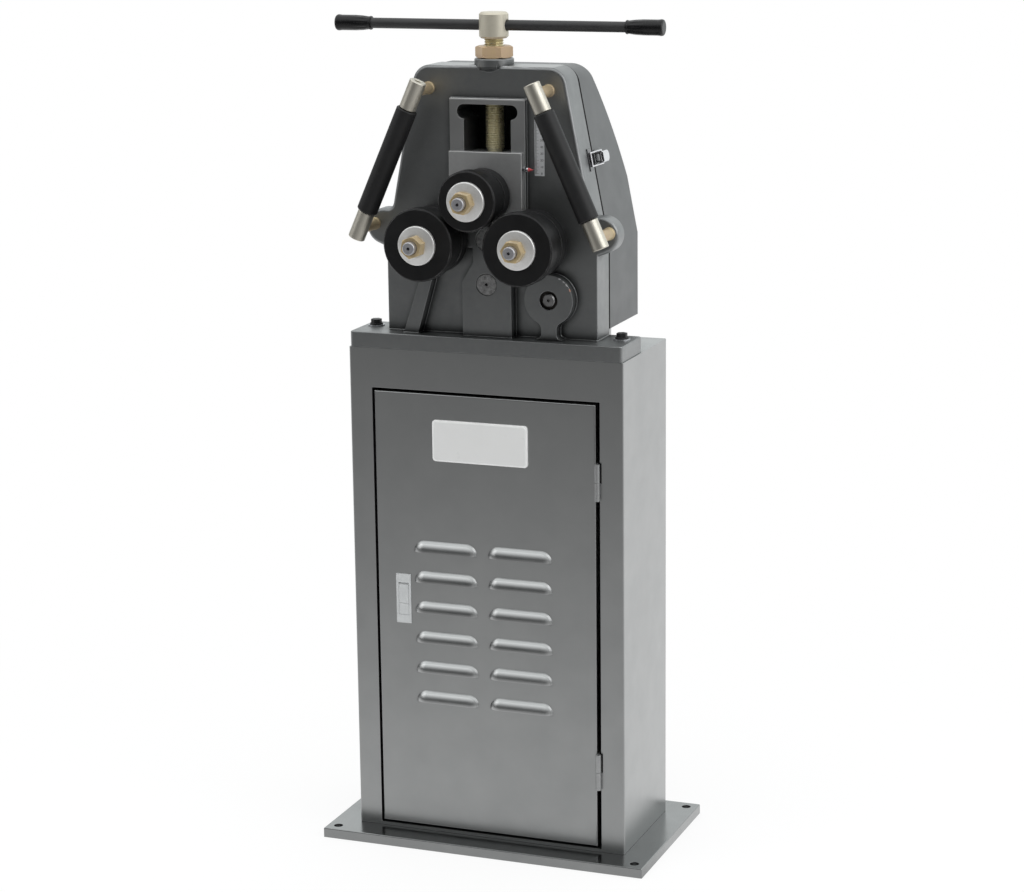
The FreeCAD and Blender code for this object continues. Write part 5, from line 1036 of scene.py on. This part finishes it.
# ---- Sub-assemblies ----
@dataclass
class Assembly:
    """A group of pieces that is built and dressed together."""

    made: list[str] = field(default_factory=list, init=False)

    def piece(self, name: str, mesh: Mesh, finish: Finish, body: str, *nodes: str) -> Object:
        """Put a finished mesh on its body.

        Args:
            name: the piece's name.
            mesh: its mesh, in its place.
            finish: its finish.
            body: the body that it moves with.
            nodes: the frame's nodes that it stands for.

        Returns:
            The object.
        """
        obj = new_object(name, mesh)
        mesh.materials.clear()
        mesh.materials.append(finish.material())
        levelled(obj)
        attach(obj, body)
        if nodes:
            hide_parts(*nodes)
        self.made.append(name)
        return obj

    def copy(self, node: str, finish: Finish, round_by: float = 0.0, steps: int = 2, name: str | None = None,
             share: Share = everywhere) -> Object:
        """Stand a joined and softened copy of a node in its place.

        Args:
            node: the frame's node.
            finish: the piece's finish.
            round_by: width of the rounding, none at 0.
            steps: pieces across the rounding.
            name: the piece's name, the node's own with an ending where none is given.
            share: part of the rounding that an edge gets.

        Returns:
            The object.
        """
        name = name or node + "_dressed"
        mesh = merged_copy(node, name)
        if round_by > 0:
            mesh = bevelled(mesh, round_by, steps, share)
        return self.piece(name, mesh, finish, frame["nodes"][node]["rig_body"], node)

    def turned(self, name: str, profile: Flat, soft: float, origin: Point, along: Point, finish: Finish,
               body: str, *nodes: str, closed: bool = False, facets: int = ROUND) -> None:
        """Turn a profile with its corners rounded, and put it on its body.

        Args:
            name: the piece's name.
            profile: (radius, station) points.
            soft: how far the rounding reaches from a corner.
            origin: a point of the axis where the station is 0.
            along: the axis's direction.
            finish: the piece's finish.
            body: the body that it moves with.
            nodes: the frame's nodes that it stands for.
            closed: the profile is a ring, so the piece is bored through.
            facets: number of facets round the axis.
        """
        mesh = lathe(name, soften(profile, soft, closed), origin, along, closed, facets)
        self.piece(name, mesh, finish, body, *nodes)

    def paint(self, finish: Finish, *nodes: str) -> None:
        """Give carried-over nodes a finish.

        Args:
            finish: the finish.
            nodes: the frame's nodes.
        """
        for node in nodes:
            data = frame["nodes"][node].data
            data.materials.clear()
            data.materials.append(finish.material())

    def build(self) -> None:
        """Build every piece of the group."""
        raise NotImplementedError

    def report(self) -> None:
        """Log the pieces that were built."""
        for name in self.made:
            LOG.info("%s: %s", type(self).__name__, name)


@dataclass
class Stand(Assembly):
    """Base plate and sheet-metal cabinet."""

    sheet_round: float = 0.7
    plate_round: float = 0.8

    def build(self) -> None:
        """Dress the plate and the cabinet."""
        self.copy("base_plate", BASE_PAINT, self.plate_round)
        self.copy("cabinet_shell", STAND_PAINT, self.sheet_round)
        self.copy("hinge_frame_halves", HINGE_PAINT, 0.3)


@dataclass
class Door(Assembly):
    """Louvred door with its latch, hinges and bare plate."""

    plate_low: Point = (-86.2, -107.4, 624.4)
    plate_high: Point = (71.2, -104.0, 690.2)
    plate_corner: float = 6.0
    plate_soft: float = 1.6
    rim_w: float = 3.2
    field_y: Pair = (-0.25, 0.5)  # from the plate's front

    def build(self) -> None:
        """Dress the door and stand the bare plate on it."""
        self.copy("door_panel", DOOR_PAINT)
        self.copy("hinge_door_halves", HINGE_PAINT, 0.3)
        self.copy("latch_housing", LATCH_ALLOY, 0.35)
        self.copy("latch_lever", LATCH_ALLOY, 0.25)
        self.copy("latch_button", LATCH_ALLOY, 0.3)
        body = round_plate("plate_body", self.plate_low, self.plate_high, self.plate_corner, self.plate_soft)
        self.piece("plate_body", body, PLATE_RIM, "door")
        (x1, front, z1), (x2, _, z2) = self.plate_low, self.plate_high
        rim, (ahead, behind) = self.rim_w, self.field_y
        low, high = (x1 + rim, front + ahead, z1 + rim), (x2 - rim, front + behind, z2 - rim)
        inner = round_plate("plate_field", low, high, self.plate_corner - rim * 0.6, 0.2)
        self.piece("plate_field", inner, PLATE_PALE, "door")


@dataclass
class Head(Assembly):
    """Main casting with what is bolted or pressed into it."""

    cast_round: float = 1.6
    flange_z: Pair = (801.0, 821.5)
    neck_y: Pair = (-93.0, -83.0)
    neck_x: float = 70.0
    face_y: float = -72.0
    rear_y: float = -14.5
    top_z: Pair = (1229.0, 1232.0)
    boss_half: float = 32.0
    sharp: Sequence[Point] = ((191.3, 985.7, 12.5), (97.0, 1196.5, 12.5), (21.0, 959.0, 6.0))  # x, z, reach
    slight: float = 0.2
    proud: float = 0.42

    def build(self) -> None:
        """Dress the casting and its fixed fittings."""
        self.copy("main_casting", CAST_PAINT, self.cast_round, 3, share=self.cast_share)
        for node, finish, width in (("gear_cover", COVER_PAINT, 0.8), ("idler_axles", DISC_STEEL, 0.0),
                                    ("shaft_bushes", BRONZE, 0.4), ("head_bolts", BLACK_BOLT, 0.4),
                                    ("head_washers", WASHER_ZINC, 0.3), ("cover_rest_pins", WASHER_ZINC, 0.3),
                                    ("toggle_keeper", DARK_CHROME, 0.2), ("toggle_base", DARK_CHROME, 0.12),
                                    ("toggle_lever", CHROME, 0.12), ("toggle_bail", CHROME, 0.0)):
            self.copy(node, finish, width)
        self.paint(HIDDEN_IRON, "axle_clips", "idler_gear_1", "idler_gear_2")

    def cast_share(self, spot: Vector, outer: bool) -> float:
        """Part of the casting's rounding that an edge gets.

        Args:
            spot: the edge's middle.
            outer: the edge stands out, and isn't a hollow corner.

        Returns:
            0 at holes, at the back and at the pinion's neck, little below the flange and at the top boss,
            less where an edge stands ahead of the face, and 1 elsewhere.
        """
        if spot.z < self.flange_z[0]:
            return self.slight
        if spot.z < self.flange_z[1]:
            return 0.0 if self.neck_y[0] < spot.y < self.neck_y[1] and spot.x > self.neck_x else 1.0
        if spot.y > self.rear_y:
            return 0.0
        if spot.z > self.top_z[1] or (spot.z > self.top_z[0] and abs(spot.x) < self.boss_half):
            return self.slight
        if any(math.hypot(abs(spot.x) - x, spot.z - z) < near for x, z, near in self.sharp):
            return 0.0
        return self.proud if outer and spot.y < self.face_y else 1.0


@dataclass
class RollSet(Assembly):
    """One roll with its shaft, cap washer and nut."""

    side: str = "top"
    x: float = 0.0
    z: float = 1039.0
    disc_r: float = 46.0
    step: float = 4.0
    nut_turn: float = 20.0
    front: float = -165.0
    rear: float = -90.0
    disc_l: float = 24.0
    groove_w: float = 3.0
    groove_deep: float = 4.0
    edge: float = 2.0
    shaft_r: float = 15.0
    nose_r: float = 10.0
    tip: float = -200.0
    groove_edge: float = 0.8
    washer_r: float = 30.0
    washer_t: float = 8.0
    washer_flat: float = 17.5
    washer_rim: Point = (1.0, 2.6, 3.8)
    nut_flats: float = 30.0
    nut_h: float = 18.0
    pitch: float = 2.5
    thread_deep: float = 0.9
    thread_in: float = 0.6
    tip_plain: float = 2.4
    thread_around: int = 65
    thread_rows: int = 10

    @property
    def body(self) -> str:
        """Name of the body that the set turns with."""
        return self.side + "_roll_set"

    @property
    def origin(self) -> Point:
        """Point of the axis at y = 0."""
        return (self.x, 0.0, self.z)

    def build(self) -> None:
        """Turn the roll, washer, nut and nose."""
        back, ahead = (0.0, 1.0, 0.0), (0.0, -1.0, 0.0)
        name = self.side
        small = self.disc_r - self.step
        groove = small - self.groove_deep
        y1 = self.front + self.disc_l
        y2 = y1 + self.groove_w
        y3 = y2 + (self.rear - y2 - self.groove_w) / 2
        y4 = y3 + self.groove_w
        e, g = self.edge, self.groove_edge
        profile = [
            (self.shaft_r, self.front), (self.disc_r - e, self.front), (self.disc_r, self.front + e),
            (self.disc_r, y1 - e), (self.disc_r - e, y1), (groove, y1), (groove, y2), (small - g, y2),
            (small, y2 + g), (small, y3 - g), (small - g, y3), (groove, y3), (groove, y4), (small - g, y4),
            (small, y4 + g), (small, self.rear - e), (small - e, self.rear), (self.shaft_r, self.rear)]
        self.turned(name + "_roll_turned", profile, 0.5, self.origin, back, ROLL_BLACK, self.body,
                    name + "_roll", closed=True)

        face = self.front - self.washer_t
        r, (inset, cone, rim) = self.washer_r, self.washer_rim
        profile = [(self.nose_r, face), (self.washer_flat, face), (r - inset, face + cone), (r, face + rim),
                   (r, self.front), (self.nose_r, self.front)]
        self.turned(name + "_washer_turned", profile, 0.7, self.origin, back, WASHER_STEEL, self.body,
                    name + "_washer", closed=True)

        mesh = hexagon_nut(name + "_nut_cut", (self.x, face, self.z), ahead, self.nut_flats, self.nut_h,
                           self.nose_r, self.nut_turn, both=False)
        self.piece(name + "_nut_cut", mesh, ZINC, self.body, name + "_nut")

        self.copy(name + "_shaft", NOSE_STEEL, 0.4, name=name + "_shaft_turned")
        start = face - self.nut_h + self.thread_in
        length = start - self.tip - self.tip_plain
        mesh = THREAD.mesh(
            name + "_nose_thread", NOSE_STEEL, axis_frame((self.x, start, self.z), ahead),
            Radius=(self.nose_r + 0.02) * MM, Depth=self.thread_deep * MM, Pitch=self.pitch * MM,
            Length=length * MM, Around=self.thread_around,
            Rows=int(length / self.pitch * self.thread_rows) + 2)
        self.piece(name + "_nose_thread", mesh, NOSE_STEEL, self.body)


@dataclass
class Slide(Assembly):
    """Slide block with its keeper, pointer and bush."""

    edge_x: float = 59.0
    pointer_y: float = -81.4
    pointer_z: float = 1079.0
    pointer_near: float = 4.0
    plate_back: float = -73.4
    pointer_nut: Pair = (8.0, 4.5)
    stem: Pair = (1.5, -5.0)
    collar: Pair = (3.5, 2.5)
    cone: Pair = (3.0, 8.5)
    reach: float = 17.6

    def build(self) -> None:
        """Dress the slide's pieces."""
        self.copy("slide_block", SLIDE_IRON, 0.5, share=self.block_share)
        self.copy("top_bush", BRONZE, 0.4)
        self.pointer()
        self.paint(HIDDEN_IRON, "slide_keeper", "keeper_screws", "screw_retaining_pins")

    def block_share(self, spot: Vector, outer: bool) -> float:
        """Part of the block's rounding that an edge gets.

        Args:
            spot: the edge's middle.
            outer: the edge stands out, which changes nothing here.

        Returns:
            1, or 0 behind the plate and at the pointer.
        """
        away = math.hypot(spot.y - self.pointer_y, spot.z - self.pointer_z)
        near = away < self.pointer_near and spot.x > self.edge_x - 1.0
        return 0.0 if near or spot.y > self.plate_back else 1.0

    def pointer(self) -> None:
        """Turn the pointer: screw, lock nut, pale collar and red cone."""
        origin = (self.edge_x, self.pointer_y, self.pointer_z)
        along = (1.0, 0.0, 0.0)
        (stem_r, inside), (collar_r, collar_l), (cone_r, cone_l) = self.stem, self.collar, self.cone
        nut = hexagon_nut("pointer_nut", origin, along, *self.pointer_nut, stem_r, 0.0, facets=48)
        self.piece("pointer_nut", nut, CHROME, "slide")
        root = self.reach - cone_l
        start = root - collar_l
        line = [(0.0, inside), (stem_r, inside), (stem_r, start), (collar_r, start), (collar_r, root),
                (2.4, root), (0.0, root)]
        self.turned("pointer_stem", line, 0.35, origin, along, CHROME, "slide", facets=32)
        line = [(0.0, root - 0.4), (cone_r, root), (cone_r, root + 0.6), (0.3, self.reach), (0.0, self.reach)]
        self.turned("pointer_tip", line, 0.4, origin, along, POINTER_RED, "slide", "depth_pointer", facets=32)


@dataclass
class Feed(Assembly):
    """Lead screw, hub, lock nut and T-bar."""

    screw_y: float = -42.5
    screw_r: float = 15.0
    pitch: float = 3.5
    thread_depth: float = 1.9
    thread_low: float = 1106.0
    thread_high: float = 1271.0
    thread_around: int = 73
    thread_rows: int = 9
    pivot: Flat = ((0.0, 1070.5), (10.5, 1070.5), (11.0, 1071.5), (11.0, 1101.5))
    core_z: Pair = (1104.0, 1279.0)
    nut_z: float = 1241.8
    nut_h: float = 18.0
    nut_flats: float = 50.0
    nut_turn: float = 43.0
    bar_z: float = 1290.5
    bar_shift: float = 5.15
    bar_l: float = 528.0
    bar_r: float = 8.0
    bar_in: float = 5.0  # the bar ends this far inside the grips' ends
    grip_r: float = 11.8
    grip_l: float = 58.5
    grip_lip: Pair = (10.5, 2.5)
    grip_neck: float = 9.7
    grip_taper: float = 24.0
    petals: int = 10
    petal_deep: float = 0.75

    def build(self) -> None:
        """Build the screw train and the handle."""
        up, across = (0.0, 0.0, 1.0), (1.0, 0.0, 0.0)
        axis = (0.0, self.screw_y, 0.0)
        length = self.thread_high - self.thread_low
        mesh = THREAD.mesh(
            "lead_thread", THREAD_ZINC, axis_frame((0.0, self.screw_y, self.thread_low), up),
            Radius=self.screw_r * MM, Depth=self.thread_depth * MM, Pitch=self.pitch * MM,
            Length=length * MM, Around=self.thread_around, Rows=int(length / self.pitch * self.thread_rows))
        self.piece("lead_thread", mesh, THREAD_ZINC, "screw", "lead_screw")
        core_r = self.screw_r - self.thread_depth - 0.3
        low, high = self.core_z
        profile = [*self.pivot, (core_r, low), (core_r, high), (0.0, high)]
        self.turned("lead_core", profile, 0.4, axis, up, THREAD_ZINC, "screw")
        self.copy("screw_hub", HUB_NICKEL)
        mesh = hexagon_nut("lock_nut_cut", (0.0, self.screw_y, self.nut_z), up, self.nut_flats, self.nut_h,
                           self.screw_r + 0.1, self.nut_turn)
        self.piece("lock_nut_cut", mesh, LOCK_ZINC, "jam_nut", "lock_nut")
        r, half = self.bar_r, self.bar_l / 2 - self.bar_in
        profile = [(0.0, -half), (r - 1.0, -half), (r, -half + 1.0), (r, half - 1.0), (r - 1.0, half),
                   (0.0, half)]
        origin = (self.bar_shift, self.screw_y, self.bar_z)
        self.turned("t_bar_turned", profile, 0.4, origin, across, BAR_BLACK, "t_handle", "t_bar", facets=64)
        grips = joined("grips_moulded", [self.grip(origin, side) for side in (-1.0, 1.0)])
        self.piece("grips_moulded", grips, GRIP_RUBBER, "t_handle", "bar_grips")

    def grip(self, origin: Point, side: float) -> Mesh:
        """One moulded grip: round end, fluted taper and a thin lip.

        Args:
            origin: middle of the T-bar.
            side: -1 for the left grip, 1 for the right.

        Returns:
            The grip's mesh.
        """
        end = self.bar_l / 2
        inner = end - self.grip_l
        r = self.grip_r
        lip_r, lip_l = self.grip_lip
        lip = inner + lip_l
        line = [(self.bar_r + 0.05, inner), (lip_r, inner), (lip_r, lip), (self.grip_neck, lip + 0.3),
                (self.grip_neck + 1.4, lip + self.grip_taper / 2), (r, lip + self.grip_taper), (r, end - 9.0),
                (r + 0.7, end - 3.5), (r - 0.2, end - 0.8), (r - 2.4, end), (0.0, end)]
        line = stations(soften(line, 1.2, False), 1.6)
        along = (side, 0.0, 0.0)
        shell = lathe("grip_shell", line, origin, along, facets=120)
        return PETALS.mesh(
            "grip_petals", GRIP_RUBBER, axis_frame(origin, along), shell, Count=self.petals,
            Depth=self.petal_deep * MM, Start=(lip + 1.0) * MM, Full=(lip + 9.0) * MM,
            Fade=(lip + self.grip_taper + 8.0) * MM)


@dataclass
class Guide(Assembly):
    """One side guide: rod with end blocks, and its free sleeve."""

    name: str = "left"
    side: float = -1.0
    high: Point = (97.0, -124.5, 1196.5)
    low: Point = (191.3, -124.5, 985.7)
    past: float = 16.5
    block_r: float = 13.0
    block_l: float = 46.0
    rod_r: float = 8.0
    sleeve_r: float = 16.0
    hole_r: float = 5.0
    hole_deep: float = 7.0
    edge: float = 1.2
    gap: float = 0.3  # between the sleeve and each block
    play: float = 0.2  # between the sleeve and the rod
    sleeve_edge: float = 1.4

    def build(self) -> None:
        """Turn the bar and the sleeve about the leaning axis."""
        high = Vector((self.side * self.high[0], *self.high[1:]))
        low = Vector((self.side * self.low[0], *self.low[1:]))
        along = (low - high).normalized()
        start = tuple(high - along * self.past)
        along = tuple(along)
        length = (low - high).length + 2 * self.past
        r, e, b, h, deep = self.block_r, self.edge, self.block_l, self.hole_r, self.hole_deep
        profile = [(0.0, deep), (h - 0.4, deep), (h, deep - 0.4), (h, 0.8), (h + 0.8, 0.0), (r - e, 0.0),
                   (r, e), (r, b - e), (r - e, b), (self.rod_r, b)]
        profile += [(radius, length - station) for radius, station in reversed(profile)]
        name = self.name
        self.turned(name + "_guide_turned", profile, 0.5, start, along, NICKEL, name + "_guide",
                    name + "_guide_bar")
        a, z = b + self.gap, length - b - self.gap
        s, bore, e = self.sleeve_r, self.rod_r + self.play, self.sleeve_edge
        tube = [(bore, a), (s - e, a), (s, a + e), (s, z - e), (s - e, z), (bore, z)]
        self.turned(name + "_sleeve_turned", tube, 0.8, start, along, SLEEVE_BLACK, name + "_guide_sleeve",
                    name + "_sleeve", closed=True)


@dataclass
class Studs(Assembly):
    """The four guide studs."""

    places: tuple[Pair, ...] = ((191.3, 985.7), (97.0, 1196.5))
    radius: float = 9.0
    tip: float = -132.5
    face: float = -68.0
    collar: Pair = (0.8, 5.0)
    inside: float = 20.0

    def build(self) -> None:
        """Turn each stud with a small collar at the casting."""
        r, tip, face = self.radius, self.tip, self.face
        (wide, long), end = self.collar, face + self.inside
        profile = [(0.0, tip), (r - 1.0, tip), (r, tip + 1.0), (r, face - long),
                   (r + wide, face - long + wide), (r + wide, face + 0.5), (r, face + 0.6), (r, end),
                   (0.0, end)]
        line = soften(profile, 0.5, False)
        meshes = [lathe("stud", line, (side * x, 0.0, z), (0.0, 1.0, 0.0), facets=64)
                  for side in (-1.0, 1.0) for x, z in self.places]
        self.piece("studs_turned", joined("studs_turned", meshes), STUD_ZINC, "stand", "guide_studs")


@dataclass
class DepthScale(Assembly):
    """Scale strip with its marks and numbers."""

    low: Point = (73.3, -68.8, 1068.5)
    high: Point = (89.0, -68.0, 1155.5)
    marks: int = 81
    first: float = 3.5  # height of the zero above the strip's end
    decades: int = 9
    mark_in: float = 0.6
    mark_w: float = 0.36
    mark_l: float = 3.0
    number_in: float = 4.0
    number_h: float = 4.8
    ink_t: float = 0.06

    def build(self) -> None:
        """Cut the strip, its marks and its numbers."""
        strip = round_plate("scale_strip", self.low, self.high, 1.0, 0.2)
        self.piece("scale_strip", strip, SCALE_PLATE, "stand", "depth_scale")
        x, y, z = self.low
        place = Matrix.Translation(Vector((x + self.mark_in, y - self.ink_t / 2, z + self.first)))
        ticks = TICKS.mesh("scale_ticks", SCALE_INK, place, Marks=self.marks, Step=1.0 * MM,
                           Width=self.mark_w * MM, Short=self.mark_l * MM, Height=self.ink_t * MM)
        self.piece("scale_ticks", ticks, SCALE_INK, "stand")
        digits = [self.number(10 * i, z + self.first + 10.0 * i) for i in range(self.decades)]
        self.piece("scale_numbers", joined("scale_numbers", digits), SCALE_INK, "stand")

    def number(self, value: int, z: float) -> Mesh:
        """One number of the scale as a thin mesh.

        Args:
            value: the number.
            z: height of its mark.

        Returns:
            The mesh, in its place.
        """
        text = bpy.data.curves.new("number", "FONT")
        text.body = str(value)
        text.size = self.number_h * MM
        text.extrude = self.ink_t / 2 * MM
        text.align_x = "CENTER"
        text.align_y = "CENTER"
        mesh = baked(new_object("number", text), "number")
        stand_up = Matrix.Rotation(math.radians(90.0), 4, "X")
        spot = Vector((self.high[0] - self.number_in, self.low[1] - self.ink_t / 2, z)) * MM
        mesh.transform(Matrix.Translation(spot) @ stand_up)
        return mesh


@dataclass
class Crank(Assembly):
    """Crank behind the cover."""

    def build(self) -> None:
        """Dress the crank's pieces."""
        self.copy("crank_shaft", AXLE_STEEL)
        self.copy("crank_arm", STAND_PAINT, 0.35)
        self.copy("crank_grip", GRIP_RUBBER, 0.6)
        self.paint(HIDDEN_IRON, "left_gear", "right_gear", "left_key", "right_key", "top_collar")


# ---- Studio ----
LAMPS = (  # name, place, aim, size, watts, whether metal mirrors it; in metres
    ("soft_right", (2.8, -0.6, 2.3), (0.0, 0.0, 0.7), 2.4, 30.0, True),
    ("soft_top", (-0.1, -1.0, 3.5), (0.0, 0.0, 0.8), 2.6, 44.0, False),
    ("soft_left", (-2.8, -1.6, 2.2), (0.0, 0.0, 0.8), 2.2, 12.0, True),
)


@dataclass
class Studio:
    """Floor, light and camera."""

    camera_at: Point = (1.52135, -3.90772, 1.59390)
    yaw: float = 21.211
    pitch: float = 12.928
    roll: float = -0.6855
    lens: float = 96.23
    floor_half: float = 14.0
    floor_near: float = 0.74  # mirrored brightness of the floor at the object's foot
    floor_fall: float = 4.0  # metres ahead over which it falls to about a third
    floor_back: float = 1.04
    shadow_reach: Pair = (0.3, 1.5)  # metres from the foot over which the floor turns white
    shadow_glow: Pair = (0.84, 1.0)
    # What metal mirrors from each side of the room.
    room_front: Colour = (0.03, 0.031, 0.031)
    room_side: Colour = (0.33, 0.335, 0.335)
    room_back: Colour = (0.93, 0.965, 0.965)
    room_top: Colour = (1.12, 1.14, 1.14)

    def build(self) -> None:
        """Set up everything that isn't the object."""
        self.camera()
        self.floor()
        self.world()
        self.lamps()
        bpy.context.scene.view_settings.view_transform = "Standard"

    def camera(self) -> None:
        """Place the camera."""
        yaw, pitch, roll = (math.radians(a) for a in (self.yaw, self.pitch, self.roll))
        ahead = Vector((-math.sin(yaw) * math.cos(pitch), math.cos(yaw) * math.cos(pitch), -math.sin(pitch)))
        right = ahead.cross(Vector((0, 0, 1))).normalized()
        up = right.cross(ahead)
        across = right * math.cos(roll) + up * math.sin(roll)
        over = up * math.cos(roll) - right * math.sin(roll)
        turn = Matrix((across, over, -ahead)).transposed()
        data = bpy.data.cameras.new("camera")
        data.lens = self.lens
        data.sensor_width = 36.0
        data.clip_start, data.clip_end = 0.1, 200.0
        camera = new_object("camera", data)
        camera.matrix_world = Matrix.Translation(Vector(self.camera_at)) @ turn.to_4x4()
        bpy.context.scene.camera = camera

    def floor(self) -> None:
        """Lay a pale floor that keeps the object's shadow."""
        bm = bmesh.new()
        bmesh.ops.create_grid(bm, x_segments=4, y_segments=4, size=self.floor_half)
        mesh = finish_mesh(bm, "floor", outward=False)
        floor = new_object("floor", mesh)
        material = bpy.data.materials.new("floor_white")
        material.use_nodes = True
        tree = material.node_tree
        shader = tree.nodes["Principled BSDF"]
        w = Wiring(tree)
        place = w.add("TexCoord", out="Object")
        reach = w.add("VectorMath", place, operation="LENGTH", out="Value")
        w.fill(shader, Base_Color=(0.82, 0.82, 0.82, 1.0), Roughness=0.9, Specular_IOR_Level=0.1)
        ahead = w.math("MAXIMUM", w.mul(w.add("SeparateXYZ", place, out=1), -1.0), 0.0)
        dim = w.mul(w.math("EXPONENT", w.mul(ahead, -1.0 / self.floor_fall)), self.floor_near)
        behind = w.span(ahead, 0.0, 0.12, 1.0, 0.0)
        mirrored = w.add("Mix", behind, None, dim, self.floor_back, data_type="FLOAT")
        path = w.add("LightPath", out="node")
        straight = w.math("MAXIMUM", path.outputs["Is Camera Ray"], path.outputs["Is Transmission Ray"])
        shown = w.math("MAXIMUM", straight, path.outputs["Is Glossy Ray"])
        level = w.add("Mix", straight, None, mirrored, 1.0, data_type="FLOAT")
        glow = w.add("Emission", (1.0, 1.0, 1.0, 1.0), level)
        share = w.mul(shown, w.span(reach, *self.shadow_reach, *self.shadow_glow))
        both = w.add("MixShader", share, shader.outputs[0], glow)
        w.put(tree.nodes["Material Output"].inputs[0], both)
        mesh.materials.append(material)

    def world(self) -> None:
        """Light the scene with a pale room that is darker in front."""
        world = bpy.data.worlds.new("room")
        world.use_nodes = True
        tree = world.node_tree
        w = Wiring(tree)
        back = tree.nodes["Background"]
        place = w.add("TexCoord", out="Generated")
        room = self.room_side
        for toward, start, full, colour in (((-0.34, -0.93, 0.1), 0.2, 0.8, self.room_front),
                                            ((0.25, 0.97, 0.0), 0.15, 0.6, self.room_back),
                                            ((0.0, 0.0, 1.0), 0.3, 0.8, self.room_top)):
            facing = w.add("VectorMath", place, toward, operation="DOT_PRODUCT", out="Value")
            room = w.mix(w.span(facing, start, full, 0.0, 1.0), room, colour)
        path = w.add("LightPath", out="node")
        plain = w.math("MAXIMUM", path.outputs["Is Camera Ray"], path.outputs["Is Transmission Ray"])
        w.put(back.inputs[0], w.mix(plain, room, (1.0, 1.0, 1.0)))
        back.inputs[1].default_value = 1.0
        bpy.context.scene.world = world

    def lamps(self) -> None:
        """Hang the soft boxes."""
        for name, at, aim, size, power, mirrored in LAMPS:
            data = bpy.data.lights.new(name, "AREA")
            data.shape = "SQUARE"
            data.size = size
            data.energy = power
            lamp = new_object(name, data)
            lamp.location = at
            lamp.rotation_mode = "QUATERNION"
            lamp.rotation_quaternion = (Vector(aim) - Vector(at)).to_track_quat("-Z", "Y")
            lamp.visible_glossy = mirrored


def main() -> None:
    """Build the studio and every sub-assembly in order."""
    logging.basicConfig(level=logging.INFO, format="%(message)s")
    Studio().build()
    groups: list[Assembly] = [
        Stand(), Door(), Head(), RollSet(),
        RollSet(side="left", x=-80.0, z=970.0, disc_r=55.75, step=3.6, nut_turn=50.0),
        RollSet(side="right", x=80.0, z=970.0, disc_r=55.75, step=3.6, nut_turn=25.0), Slide(), Feed(),
        Guide(name="left", side=-1.0), Guide(name="right", side=1.0), Studs(), DepthScale(), Crank()]
    for group in groups:
        group.build()
        group.report()


if __name__ == "__main__":
    main()
